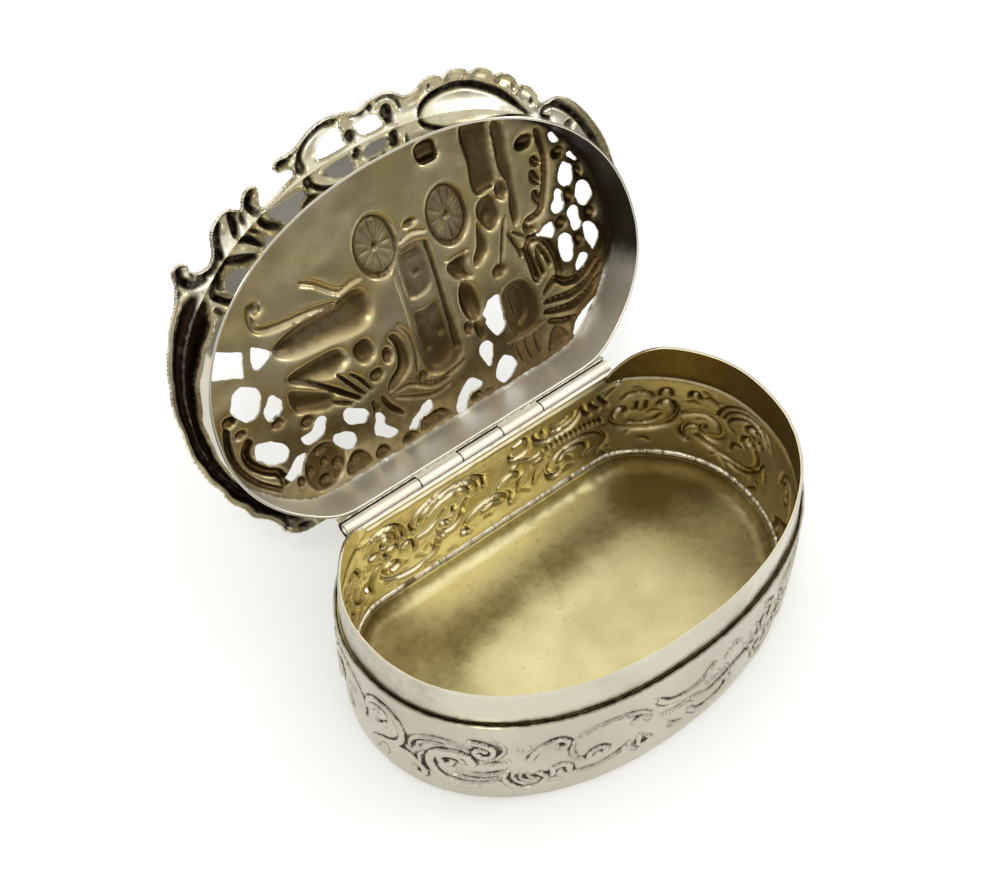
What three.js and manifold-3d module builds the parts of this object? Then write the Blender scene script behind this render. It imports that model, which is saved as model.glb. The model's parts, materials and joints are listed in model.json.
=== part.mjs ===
// A silver trinket box: oval body with a straight back, gilt inside, and a pierced lid with a scrolled
// border that stands out past its rim. A five-knuckle hinge runs along the back. The lid stands open.
// Millimetres, +Z up. X runs along the hinge, the front faces -Y, and the origin is the middle of the base.
import * as THREE from 'three';
import { mergeVertices } from 'three/addons/utils/BufferGeometryUtils.js';
import Module from 'manifold-3d';

const wasm = await Module();
wasm.setup();

// Plan of the bezel's top edge, which every other outline is offset from
const bezelLength = 87.4;
const frontDepth = 31.5; // long axis to the front
const backFlat = 22.1; // long axis to the straight back
const backCut = 0.267 * backFlat; // the back curve would reach this much further if it weren't cut straight
const frontRoundness = 2.15; // 2 is a true ellipse, more is squarer
const backRoundness = 2.13;
const cornerBlend = 0.6; // softness of the two back corners

// Heights above the table
const lipHeight = 25.85; // top of the body wall
const bezelRise = 7.7; // the bezel above the lip
const bezelTail = 1; // the bezel below the lip, soldered inside the wall
const lidHeadroom = 1.2; // top of the bezel to the underside of the lid

// Sheet gauges
const wallSheet = 0.55;
const bezelSheet = 0.5;
const baseSheet = 0.7;
const bandSheet = 0.5;
const lidSheet = 0.6;

// Fits
const solderGap = 0.3; // between pieces that are soldered face to face
const lidClearance = 0.4; // bezel's foot to the inside of the lid's band
const bezelTaper = 0.3; // the bezel leans in this much, so that the lid's front swings clear

// Body wall, as outward offsets from the plan line
const wallFlare = 0.35; // the lip stands out past the waist
const wallFlareReach = 0.2; // share of the wall's height that the flare takes
const wallFoot = 1.45; // waist to foot
const wallLevels = 9;

// Hinge
const hingePastCorner = 1.72; // the hinge ends this far past each corner of the straight back
const lidKnuckleLength = 9.2; // the middle three knuckles are alike
const knuckleRadius = 1.15;
const knuckleWall = 0.3;
const knuckleSpacing = 0.25;
const pinClearance = 0.3;
const axisDrop = 0.45; // hinge axis below the lip
const openAngle = 116; // the lid's swing from shut to its stop
const stopGap = 4.5; // degrees left between the two bearers when the lid stands open
const bearerWall = 0.5; // metal left behind the knuckles' groove
const bearerHeight = 2.55; // lip level down to the bearer's foot, and as much again on the lid

// The bezel is cut away behind the hinge, and its two ends rise in a curved shoulder
const shoulderLap = 3.3; // the shoulder leaves lip level this far short of the hinge's end
const shoulderRun = 10; // from there to the bezel's full height
const shoulderTrim = 0.6; // cut off the shoulder's thin tip

// Lid sheet
const borderCrown = 1.5; // how far the border arches up between band and edge, where it is wide
const borderPitch = 0.28; // the same, as a share of the border's width, where it is narrow

// Base pan and its solder
const rimHeight = 3.2; // the base's edge is turned up to this inside the wall
const coveReach = 1.6; // from the rim's inner face to the flat floor
const coveSteps = 4;
const beadSize = 0.8;

const stationCount = 92;
const halfLength = bezelLength / 2;
const backDepth = backFlat + backCut;
const bezelTop = lipHeight + bezelRise;
const bezelOut = bezelTaper; // the bezel's foot stands this far outside the plan line
const wallIn = bezelOut + solderGap;
const wallOut = wallIn + wallSheet;
const bandIn = bezelOut + lidClearance;
const bandOut = bandIn + bandSheet;
const bandBottom = lipHeight + solderGap;
const sheetBottom = bezelTop + lidHeadroom;
const bandTop = sheetBottom - solderGap;
const seatRadius = knuckleRadius + solderGap;
const hingeY = backFlat + bandOut + solderGap + knuckleRadius;
const hingeZ = lipHeight - axisDrop;
const cornerHalf = halfLength * (1 - (backFlat / backDepth) ** backRoundness) ** (1 / backRoundness);
const hingeLength = 2 * (cornerHalf + hingePastCorner);
const notchHalf = hingeLength / 2 + solderGap;

const silver = { color: 0xc9c4b4, roughness: 0.28, metalness: 1 };
const gilt = { color: 0xc9b26a, roughness: 0.35, metalness: 1 };
const oxidised = { color: 0x8f8468, roughness: 0.4, metalness: 1 };

// A geometry whose corners are shared, so that it is closed
function merged(geometry) {
  geometry.deleteAttribute('normal');
  geometry.deleteAttribute('uv');
  return mergeVertices(geometry, 1e-4);
}

function solidOf(geometry) {
  const closed = merged(geometry);
  const vertProperties = Float32Array.from(closed.getAttribute('position').array);
  const triVerts = Uint32Array.from(closed.getIndex().array);
  return new wasm.Manifold(new wasm.Mesh({ numProp: 3, vertProperties, triVerts }));
}

function geometryOf(solid) {
  const { vertProperties, triVerts } = solid.getMesh();
  const geometry = new THREE.BufferGeometry();
  geometry.setAttribute('position', new THREE.BufferAttribute(vertProperties, 3));
  geometry.setIndex(new THREE.BufferAttribute(triVerts, 1));
  return geometry;
}

// One point of the plan line, by its turn round the box from +X. The front and back halves are
// superellipses, and the back one is cut off softly at the straight back.
function planLine(turn) {
  const along = Math.cos(turn);
  const across = Math.sin(turn);
  const isBack = across > 0;
  const power = 2 / (isBack ? backRoundness : frontRoundness);
  const depth = isBack ? backDepth : frontDepth;
  const x = halfLength * Math.sign(along) * Math.abs(along) ** power;
  const y = depth * Math.sign(across) * Math.abs(across) ** power;
  const cut = -cornerBlend * Math.log(Math.exp(-y / cornerBlend) + Math.exp(-backFlat / cornerBlend));
  return new THREE.Vector2(x, isBack ? cut : y);
}

// The same line moved outwards along its own normal
function planOffset(turn, outward) {
  const step = 1e-3;
  const tangent = planLine(turn + step).sub(planLine(turn - step)).normalize();
  return planLine(turn).add(new THREE.Vector2(tangent.y, -tangent.x).multiplyScalar(outward));
}

// The turn at which the back half of the line has a given x
function backTurn(x) {
  const along = (Math.abs(x) / halfLength) ** (backRoundness / 2);
  return x > 0 ? Math.acos(along) : Math.PI - Math.acos(along);
}

// Turns at which rings are built: even steps, none along the straight back, and a pair at each end of
// the hinge notch so that its sides stand upright
function ringStations() {
  const notchSide = 0.02;
  const cornerReach = 3;
  const straightFrom = backTurn(hingeLength / 2 - cornerReach);
  const straightTo = backTurn(cornerReach - hingeLength / 2);
  const even = Array.from({ length: stationCount }, (_, i) => (2 * Math.PI * i) / stationCount);
  const bent = even.filter((turn) => turn < straightFrom || turn > straightTo);
  const notch = [1, -1].flatMap((side) => [
    backTurn(side * (notchHalf - notchSide)),
    backTurn(side * (notchHalf + notchSide)),
  ]);
  return [...bent, ...notch, straightFrom, straightTo].sort((a, b) => a - b);
}

function isInNotch(turn) {
  return Math.sin(turn) > 0 && Math.abs(planLine(turn).x) < notchHalf;
}

// The bezel's stations, in order from its left end round the front to its right end
function bezelStations() {
  const fullTurn = 2 * Math.PI;
  const endHalf = hingeLength / 2 - shoulderLap + shoulderTrim;
  const isBeside = (turn) => Math.sin(turn) < 0 || Math.abs(planLine(turn).x) > endHalf;
  const stations = [...ringStations().filter(isBeside), backTurn(endHalf), backTurn(-endHalf)];
  return stations.map((turn) => (turn < fullTurn / 4 ? turn + fullTurn : turn)).sort((a, b) => a - b);
}

// A hoop round the plan: at each station, a closed profile of [outward, z] points, which runs up the
// outside and down the inside. An open one stops at its first and last stations, with flat ends.
function hoop(profileAt, stations = ringStations(), isOpen = false) {
  const rings = stations.map((turn) =>
    profileAt(turn).map(([outward, z]) => {
      const { x, y } = planOffset(turn, outward);
      return [x, y, z];
    }),
  );
  const size = rings[0].length;
  const indices = [];
  rings.forEach((ring, i) => {
    if (isOpen && i === rings.length - 1) return;
    const nextRing = (i + 1) % rings.length;
    ring.forEach((_, j) => {
      const nextPoint = (j + 1) % size;
      const a = i * size + j;
      const b = nextRing * size + j;
      const c = nextRing * size + nextPoint;
      const d = i * size + nextPoint;
      indices.push(a, b, c, a, c, d);
    });
  });
  if (isOpen) {
    const last = (rings.length - 1) * size;
    for (let j = 0; j < size / 2 - 1; j++) {
      const [a, b, c, d] = [j, j + 1, size - 2 - j, size - 1 - j];
      indices.push(a, b, c, a, c, d);
      indices.push(last + a, last + c, last + b, last + a, last + d, last + c);
    }
  }
  const geometry = new THREE.BufferGeometry();
  geometry.setAttribute('position', new THREE.Float32BufferAttribute(rings.flat(2), 3));
  geometry.setIndex(indices);
  return geometry;
}

// Outward offset of the body wall's outer face at a height: a short flare under the lip, then a quarter
// ellipse that tucks in to the foot
function wallFace(z) {
  const down = 1 - z / lipHeight;
  const flare = wallFlare * Math.sin((Math.PI / 2) * THREE.MathUtils.clamp(down / wallFlareReach, 0, 1));
  const tuck = Math.max(0, (down - wallFlareReach) / (1 - wallFlareReach));
  return wallOut - flare - wallFoot * (1 - Math.sqrt(Math.max(0, 1 - tuck * tuck)));
}

// Offset of the faces that stand against the inside of the wall
function besideWall(z) {
  return wallFace(z) - wallSheet - solderGap;
}

// The wall's heights crowd towards the foot, where it bends most
function wallHeights(top) {
  const quarter = Math.PI / 2;
  return Array.from({ length: wallLevels + 1 }, (_, i) => top * (1 - Math.cos((quarter * i) / wallLevels)));
}

function bodyWall() {
  const bearerFoot = lipHeight - bearerHeight;
  return hoop((turn) => {
    const heights = wallHeights(isInNotch(turn) ? bearerFoot - solderGap : lipHeight);
    const outside = heights.map((z) => [wallFace(z), z]);
    const inside = heights.map((z) => [wallFace(z) - wallSheet, z]).reverse();
    return [...outside, ...inside];
  });
}

// Outward offset of the bezel's outer face: it leans in above the lip, and follows the wall below it
function bezelFace(z) {
  const lean = (bezelTaper * Math.max(0, z - lipHeight)) / bezelRise;
  return Math.min(bezelOut - lean, besideWall(z));
}

// The bezel stands inside the wall. It is a strip that is cut away behind the hinge. Its ends lap over the
// hinge bearer's ends, where they have no tail, and rise from there in a quarter wave.
function bezel() {
  const kneeShare = 0.06; // the bend between tail and rise, as a share of the height
  const shoulderStart = hingeLength / 2 - shoulderLap;
  return hoop((turn) => {
    const along = (Math.abs(planLine(turn).x) - shoulderStart) / shoulderRun;
    const climb = Math.sin((Math.PI / 2) * Math.min(along, 1));
    const top = Math.sin(turn) > 0 ? lipHeight + bezelRise * climb : bezelTop;
    const foot = isInNotch(turn) ? lipHeight + solderGap : lipHeight - bezelTail;
    const heights = [foot, foot + (top - foot) * kneeShare, top];
    const outside = heights.map((z) => [bezelFace(z), z]);
    const inside = heights.map((z) => [bezelFace(z) - bezelSheet, z]).reverse();
    return [...outside, ...inside];
  }, bezelStations(), true);
}

// A flat plate whose edge follows offsets of the plan line: [outward, z] from its lower face to its upper
function planPlate(levels) {
  const stations = ringStations();
  const rings = levels.map(([outward, z]) =>
    stations.map((turn) => {
      const { x, y } = planOffset(turn, outward);
      return new THREE.Vector3(x, y, z);
    }),
  );
  const count = stations.length;
  const indices = [];
  for (let level = 0; level < levels.length - 1; level++) {
    for (let i = 0; i < count; i++) {
      const a = level * count + i;
      const b = level * count + ((i + 1) % count);
      indices.push(a, b, b + count, a, b + count, a + count);
    }
  }
  const faces = THREE.ShapeUtils.triangulateShape(rings[0].map(({ x, y }) => new THREE.Vector2(x, y)), []);
  const top = (levels.length - 1) * count;
  faces.forEach(([a, b, c]) => indices.push(a, c, b, top + a, top + b, top + c));
  const geometry = new THREE.BufferGeometry().setFromPoints(rings.flat());
  geometry.setIndex(indices);
  return geometry;
}

// The base is a shallow pan, a sheet whose edge is turned up inside the wall. Its flat upper face is the
// floor, and a quarter ellipse leads from that to the rim.
function basePlate() {
  const outside = [0, rimHeight / 8, rimHeight / 2, rimHeight].map((z) => [besideWall(z), z]);
  const inside = Array.from({ length: coveSteps + 1 }, (_, i) => {
    const angle = ((Math.PI / 2) * i) / coveSteps;
    return [
      besideWall(rimHeight) - baseSheet - coveReach * (1 - Math.cos(angle)),
      rimHeight - (rimHeight - baseSheet) * Math.sin(angle),
    ];
  });
  return planPlate([...outside, ...inside]);
}

// A three-sided bead of solder on the pan's rim, against the wall
function floorSolder() {
  const low = rimHeight + solderGap;
  const high = low + beadSize;
  return hoop(() => [
    [besideWall(low), low],
    [besideWall(high), high],
    [besideWall(low) - beadSize, low],
  ]);
}

// Extrudes an outline of [y, z] points along X, centred on x
function alongHinge(outline, length, x, hole) {
  const shape = new THREE.Shape(outline.map(([y, z]) => new THREE.Vector2(y, z)));
  if (hole) shape.holes.push(hole);
  const geometry = new THREE.ExtrudeGeometry(shape, { depth: length, bevelEnabled: false });
  geometry.applyMatrix4(new THREE.Matrix4().makeBasis(
    new THREE.Vector3(0, 1, 0),
    new THREE.Vector3(0, 0, 1),
    new THREE.Vector3(1, 0, 0),
  ));
  return geometry.translate(x - length / 2, 0, 0);
}

function arcPoints(radius, fromDegrees, toDegrees, steps) {
  return Array.from({ length: steps + 1 }, (_, i) => {
    const angle = THREE.MathUtils.degToRad(fromDegrees + ((toDegrees - fromDegrees) * i) / steps);
    return [radius * Math.cos(angle), radius * Math.sin(angle)];
  });
}

// One bearer: a strip soldered along the straight back, with a groove for the knuckles. The outline is
// the body's, about the hinge axis, from its flat top down to its foot, and turned = -1 turns it over for
// the lid. The two stop faces meet behind the hinge and hold the lid open.
function bearer(turned, inner, top, foot) {
  const steps = 10;
  const footAngle = 100; // where the round back leaves the flat foot
  const stop = (openAngle + stopGap) / 2;
  const topAngle = 180 + THREE.MathUtils.radToDeg(Math.asin(top / seatRadius));
  const outerRadius = seatRadius + bearerWall;
  const outline = [
    ...arcPoints(seatRadius, -stop, -topAngle, steps),
    [inner, top],
    [inner, -foot],
    [-outerRadius / 2, -foot],
    ...arcPoints(outerRadius, -footAngle, -stop, steps / 2),
  ];
  return alongHinge(outline.map(([y, z]) => [y, turned * z]), hingeLength, 0);
}

// The hinge's five knuckles lie end to end: the outer two and the middle one are the body's
function knuckleSpans() {
  const outerLength = (hingeLength - 3 * lidKnuckleLength) / 2;
  const lengths = [outerLength, lidKnuckleLength, lidKnuckleLength, lidKnuckleLength, outerLength];
  let start = -hingeLength / 2;
  return lengths.map((length) => {
    const span = { middle: start + length / 2, length: length - knuckleSpacing };
    start += length;
    return span;
  });
}

// A round outline, without the last point, which would be the first again
function roundOutline(radius, sides) {
  return arcPoints(radius, 0, 360, sides).slice(0, -1);
}

function knuckle({ middle, length }) {
  const bore = new THREE.Path().absarc(0, 0, knuckleRadius - knuckleWall, 0, 2 * Math.PI, true);
  return alongHinge(roundOutline(knuckleRadius, 24), length, middle, bore);
}

function hingePin() {
  return alongHinge(roundOutline(knuckleRadius - knuckleWall - pinClearance, 12), hingeLength, 0);
}

// The lid's upright band. Behind the hinge its lower edge is cut back for the lid's bearer.
function lidBand(bearerHead) {
  return hoop((turn) => {
    const bottom = isInNotch(turn) ? bearerHead + solderGap : bandBottom;
    return [
      [bandOut, bottom],
      [bandOut, bandTop],
      [bandIn, bandTop],
      [bandIn, bottom],
    ];
  });
}

// The lid's ornament is drawn over a plan of this size, and stretches with the plan
const drawnLength = 87.4;
const drawnFront = 31.5;
const drawnFlat = 22.1;
const stretchX = bezelLength / drawnLength;
const stretchFront = frontDepth / drawnFront;
const stretchBack = backFlat / drawnFlat;
const onPlan = ([x, y]) => new THREE.Vector2(x * stretchX, y * (y < 0 ? stretchFront : stretchBack));

// Edge of the lid sheet, anticlockwise from the back left corner, one list for each ornament of the
// border: points that a smooth line is drawn through
const leftSweep = [
  [-33.5, 26.2], [-36.3, 24.4], [-37.2, 22.3], [-40.2, 19], [-43, 14.8], [-45.2, 9.5], [-46.6, 3.5],
  [-47, -2], [-46.5, -8], [-44.9, -13.8], [-42.2, -19.3], [-39.3, -23.4],
];
const leftCurl = [
  [-38.3, -26.2], [-38.1, -28.1], [-36.8, -28.9], [-35.5, -28.2], [-35.2, -26.8], [-33.6, -25.8],
];
const acanthusTips = [
  [-31.4, -26.4], [-30.1, -28.3], [-29.5, -30.7], [-28, -32.4], [-25.8, -33.3], [-24.2, -32.5], [-23, -32.2],
  [-22.1, -33.9], [-20.7, -34.9], [-19.4, -34.3], [-19.6, -32.8], [-20.1, -31.4], [-19.2, -30.6],
];
const rail = [[-17, -31.2], [-14.5, -32.2], [-12.4, -33]];
const openScroll = [
  [-11.9, -34.1], [-13, -34.8], [-14.5, -35], [-15.1, -36], [-14.1, -36.9], [-12.2, -36.7], [-9.8, -37.5],
  [-6.8, -38.8], [-3.6, -39.3], [-0.6, -38.9], [2.6, -38], [4.6, -38.6], [7.4, -38.7], [9.8, -37.8],
  [11.6, -36.4],
];
const rightScroll = [
  [38.2, -22.8], [40.2, -22.9], [42.4, -21.8], [44.3, -19.7], [46, -16.8], [47.4, -13.3], [48.2, -9.5],
  [48.5, -4.5], [48.4, 1], [47.6, 6], [46, 11], [43.6, 15.6], [40.4, 19.6], [37.6, 22.2], [36.8, 24.3],
  [33.6, 26.3],
];
const backEdge = [[24, 26.6], [12, 27.1], [0, 27.3], [-12, 27.1], [-24, 26.6]];

// The shell at the front right: scallops along an arc
const shellCentre = [15.6, -12.6];
const shellRadius = 23.9;
const shellRise = 0.9;
const shellFrom = -93;
const shellTo = -28;
const shellLobes = 5;

function shellEdge() {
  const steps = shellLobes * 5;
  return Array.from({ length: steps + 1 }, (_, i) => {
    const share = i / steps;
    const angle = THREE.MathUtils.degToRad(shellFrom + (shellTo - shellFrom) * share);
    const radius = shellRadius + shellRise * Math.sqrt(Math.abs(Math.sin(Math.PI * shellLobes * share)));
    return [shellCentre[0] + radius * Math.cos(angle), shellCentre[1] + radius * Math.sin(angle)];
  });
}

// Open work of the border's big scroll
const scrollOpenings = [
  [
    [-6.9, -33.4], [-6.8, -34.8], [-5.6, -36.3], [-3.4, -37.2], [-1.5, -36.8], [-1, -35.4], [-1.3, -34.1],
    [-0.7, -33.4],
  ],
  [[1.6, -35.9], [5.2, -36.1], [6.6, -35.1], [7, -33.6], [4.4, -33.3], [2.4, -33.6], [1.5, -34.6]],
];

// Piercings of the panel with straight sides
const strutPiercings = [
  [[-37.2, -13], [-32, -9.8], [-33.3, -5.3], [-40.4, -8.6]],
  [[-30.2, -9.8], [-26.8, -7.1], [-30, -5.3], [-31.3, -5.6], [-31.3, -7.5]],
];

// Rounded piercings of the panel, one row each, from the left end to the right
const roundPiercings = [
  [[-35.5, -4.3], [-32.3, -3], [-31.6, -1], [-33.4, 1.9], [-35.4, 2.2], [-37.3, 0.3], [-37.9, -1.6]],
  [[-30.1, 0], [-28.8, 1.3], [-28.6, 2.2], [-29.5, 4.1], [-31.9, 4.1], [-32.4, 2.4], [-31.6, 1]],
  [[-36, 7], [-34.5, 7], [-32.7, 7.6], [-30.5, 10.3], [-31.7, 12.4], [-34.6, 12], [-35.7, 10.5], [-36.8, 10]],
  [[-27.8, 9.9], [-25.7, 9.8], [-23.4, 8.3], [-22.2, 8.8], [-22.2, 9.9], [-23.5, 11.9], [-26.9, 12]],
  [[-17.8, 9.6], [-15.5, 10.8], [-14.2, 12.2], [-14.4, 13.4], [-15.9, 14], [-18.6, 12.3], [-18.9, 10.4]],
  [[-30.1, 12.9], [-27.8, 13], [-28.8, 15], [-29.8, 16.1], [-32, 16.5], [-32.9, 15.6]],
  [[-22.2, 13.3], [-20.9, 13], [-18.4, 14.2], [-17.9, 15.5], [-18.9, 17.2], [-20.6, 16.6], [-22, 15]],
  [[-12.6, 13.8], [-11.4, 15], [-11.5, 16.6], [-9.7, 19], [-10.9, 19.6], [-12.3, 19], [-14.4, 16.9]],
  [[-7.9, 19.8], [-4.7, 17.7], [-3.2, 16.8], [-1.8, 17.1], [-2.1, 19.1], [-4.6, 19.6], [-6.2, 20.9]],
  [[3, 23], [2.3, 21.9], [3.2, 19.6], [6.5, 17.2], [8.2, 18.1], [9, 19.9], [5.9, 20.6], [4.1, 22.7]],
  [[10.4, 14], [11, 12.5], [12.6, 12.4], [13.7, 14], [12.6, 16.6], [11.8, 17.5], [10.9, 16.6]],
  [[15.9, 5.2], [17.9, 5.9], [17.6, 10.5], [17.2, 12.2], [15, 12.7], [13.4, 9.6], [13.8, 8.4], [13.5, 7.2]],
  [[14.4, 17.1], [16, 17.7], [17.2, 19.6], [16.2, 21.1], [13.8, 22.2], [12.2, 20.8], [12.5, 19]],
  [[37, -17.5], [38, -17.2], [38.7, -15.4], [37.6, -15.3], [36.8, -16.5]],
  [[39.5, -12.1], [40.4, -12.4], [41.4, -10.3], [40.5, -10.5]],
  [[37.9, -11.1], [39.4, -10.6], [40, -9.5], [39.4, -7.2], [38.2, -6.3], [36.9, -6.9], [36, -8.8]],
  [[35.3, -7.3], [36.6, -5.9], [35.9, -3.1], [34.1, -2.8], [32.9, -4.1], [34.1, -5.7]],
  [[40.6, -6.4], [42.1, -5], [42.5, -2.6], [40.7, -1], [39.4, -1.9], [38.8, -3.9], [39.4, -5.7]],
  [[29.1, -0.7], [30.6, -2], [32.5, -2], [32.8, -0.1], [31.6, 1.2], [30.6, 0.5]],
  [[36.3, -1.9], [37.6, -2.6], [39, -1.6], [38.4, 0], [38.7, 1.4], [37.6, 2.5], [36.2, 1.6], [36.3, -0.1]],
  [[33.8, 1.2], [35.3, 1.9], [35.9, 4], [35.1, 6.1], [34, 7.1], [32.5, 6.1], [32.1, 4], [32.8, 1.9]],
  [[39, 1.9], [40.6, 1.9], [41.6, 4], [41.2, 6.1], [39.7, 7.4], [39, 6.1], [38.4, 4]],
  [[36.5, 6.5], [38.2, 8.1], [36.5, 9.9], [35, 9.9], [34.7, 8.4]],
  [[37.2, 16.2], [36, 17.7], [31.2, 21.1], [30.3, 20.6], [31.5, 18.7], [32.6, 17.8], [34.4, 17.2]],
];

// A closed smooth line through points, as a path of short straight steps
function smoothLoop(points, stepsPerPoint) {
  const through = points.map(onPlan).map(({ x, y }) => new THREE.Vector3(x, y, 0));
  const curve = new THREE.CatmullRomCurve3(through, true, 'centripetal');
  const drawn = curve.getPoints(points.length * stepsPerPoint).slice(0, -1);
  return drawn.map(({ x, y }) => new THREE.Vector2(x, y));
}

function sheetEdge() {
  return smoothLoop([
    ...leftSweep, ...leftCurl, ...acanthusTips, ...rail, ...openScroll, ...shellEdge(), ...rightScroll,
    ...backEdge,
  ], 2);
}

function contains(polygon, point) {
  return polygon.reduce((isInside, a, i) => {
    const b = polygon[(i + 1) % polygon.length];
    const isLevel = a.y > point.y !== b.y > point.y;
    const isCrossed = isLevel && point.x < a.x + ((point.y - a.y) * (b.x - a.x)) / (b.y - a.y);
    return isCrossed ? !isInside : isInside;
  }, false);
}

// How far the border reaches past the band at a turn, averaged over its neighbours so that single curls
// don't swell the arch
function borderReach(turn, edge) {
  const widest = 12;
  const step = 0.25;
  const spread = 0.045; // turn from one neighbour to the next
  const reaches = [-2, -1, 0, 1, 2].map((neighbour) => {
    let reach = step;
    const nearby = turn + neighbour * spread;
    while (reach < widest && contains(edge, planOffset(nearby, bandOut + reach))) reach += step;
    return reach;
  });
  return reaches.reduce((sum, reach) => sum + reach, 0) / reaches.length;
}

// A hoop of sheet that arches up from the band and comes down again where the border ends, with a flat
// skirt past that for the tips of the curls
function borderArch(edge) {
  const steps = 6;
  const skirt = 3.5;
  const lap = 0.4;
  return hoop((turn) => {
    const reach = borderReach(turn, edge);
    const crown = Math.min(borderCrown, reach * borderPitch);
    const arch = Array.from({ length: steps + 1 }, (_, i) => [
      bandOut + (reach * i) / steps,
      sheetBottom + crown * Math.sin((Math.PI * i) / steps),
    ]);
    const under = [[bandOut - lap, sheetBottom], ...arch, [bandOut + reach + skirt, sheetBottom]];
    const over = under.map(([outward, z]) => [outward, z + lidSheet]).reverse();
    return [...under, ...over];
  });
}

function prism(outline, holes, bottom, height) {
  const shape = new THREE.Shape(outline);
  shape.holes = holes.map((points) => new THREE.Path(points));
  const geometry = new THREE.ExtrudeGeometry(shape, { depth: height, bevelEnabled: false });
  return geometry.translate(0, 0, bottom);
}

// The pierced sheet: a flat panel inside the band, and outside it the arched border, cut to its edge
function lidSheetGeometry() {
  const edge = sheetEdge();
  const lap = 0.25;
  const panelEdge = ringStations().map((turn) => planOffset(turn, bandOut + lap));
  const piercings = [
    ...strutPiercings.map((points) => points.map(onPlan)),
    ...roundPiercings.map((points) => smoothLoop(points, 2)),
  ];
  const panel = solidOf(prism(panelEdge, piercings, sheetBottom, lidSheet));
  const openings = scrollOpenings.map((points) => smoothLoop(points, 2));
  const margin = 1; // the cutter stands out past the arch by this, above and below
  const cutter = solidOf(prism(edge, openings, sheetBottom - margin, borderCrown + lidSheet + 2 * margin));
  return geometryOf(solidOf(borderArch(edge)).intersect(cutter).add(panel));
}

function piece(name, geometry, finish) {
  const closed = merged(geometry);
  closed.computeVertexNormals();
  const mesh = new THREE.Mesh(closed, new THREE.MeshStandardMaterial(finish));
  mesh.name = name;
  return mesh;
}

const box = new THREE.Group();
const body = new THREE.Group();
const lid = new THREE.Group();
box.add(body, lid);

body.add(
  piece('body_wall', bodyWall(), silver),
  piece('bezel', bezel(), gilt),
  piece('base_plate', basePlate(), gilt),
  piece('floor_solder', floorSolder(), silver),
);

// Hinge pieces are drawn about the axis, so they hang in a group that sits on it
const axisGroup = new THREE.Group();
axisGroup.position.set(0, hingeY, hingeZ);
body.add(axisGroup);
const spans = knuckleSpans();
const bearerReach = bearerHeight - axisDrop; // axis to the bearers' far edges
const bodyFace = backFlat + bezelOut - bezelSheet - hingeY;
const lidFace = backFlat + bandIn - hingeY;
axisGroup.add(
  piece('body_hinge_bearer', bearer(1, bodyFace, axisDrop, bearerReach), silver),
  piece('body_knuckle_left', knuckle(spans[0]), silver),
  piece('body_knuckle_middle', knuckle(spans[2]), silver),
  piece('body_knuckle_right', knuckle(spans[4]), silver),
  piece('hinge_pin', hingePin(), silver),
);

// The lid turns about the same axis. Its pieces are drawn shut and swung open together.
lid.position.set(0, hingeY, hingeZ);
lid.rotation.x = THREE.MathUtils.degToRad(-openAngle);
const lidSeam = axisDrop + solderGap;
const fromAxis = (geometry) => geometry.translate(0, -hingeY, -hingeZ);
lid.add(
  piece('lid_hinge_bearer', bearer(-1, lidFace, -lidSeam, bearerReach), silver),
  piece('lid_knuckle_left', knuckle(spans[1]), silver),
  piece('lid_knuckle_right', knuckle(spans[3]), silver),
  piece('lid_band', fromAxis(lidBand(hingeZ + bearerReach)), oxidised),
  piece('lid_sheet', fromAxis(lidSheetGeometry()), oxidised),
);

export default box;
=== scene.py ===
import json
import math
import bpy
import numpy as np
from mathutils import Matrix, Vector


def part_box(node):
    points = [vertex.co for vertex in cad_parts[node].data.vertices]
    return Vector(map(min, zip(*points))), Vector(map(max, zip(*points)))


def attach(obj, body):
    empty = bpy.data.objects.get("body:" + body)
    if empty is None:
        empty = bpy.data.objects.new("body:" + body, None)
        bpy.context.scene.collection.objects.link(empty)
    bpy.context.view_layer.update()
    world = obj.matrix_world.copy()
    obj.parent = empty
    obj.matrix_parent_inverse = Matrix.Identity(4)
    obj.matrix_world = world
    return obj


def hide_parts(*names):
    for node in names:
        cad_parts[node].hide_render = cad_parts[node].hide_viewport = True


# An oval silver trinket box that stands open: embossed body, gilt inside, and a pierced lid whose
# scrolled border stands out past its rim. Shapes are worked out in millimetres and go into the meshes
# in metres. The lid is worked out shut, and swung open with openLid().

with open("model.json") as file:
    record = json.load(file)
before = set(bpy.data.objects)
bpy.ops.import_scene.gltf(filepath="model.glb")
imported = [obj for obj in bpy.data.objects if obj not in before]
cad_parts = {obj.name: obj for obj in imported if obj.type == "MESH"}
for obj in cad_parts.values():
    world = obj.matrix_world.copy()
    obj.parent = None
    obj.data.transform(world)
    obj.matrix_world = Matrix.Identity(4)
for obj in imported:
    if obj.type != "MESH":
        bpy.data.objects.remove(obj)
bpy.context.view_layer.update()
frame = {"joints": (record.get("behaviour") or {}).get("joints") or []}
mm = 0.001
print("frame loaded")

camera = {
    "azimuth": -39.2275, "elevation": 51.93, "roll": 0.504, "distance": 367.62,
    "target": (8.591, 29.745, 13.2), "lens": 71.2, "sensor": 36.0,
}


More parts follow.
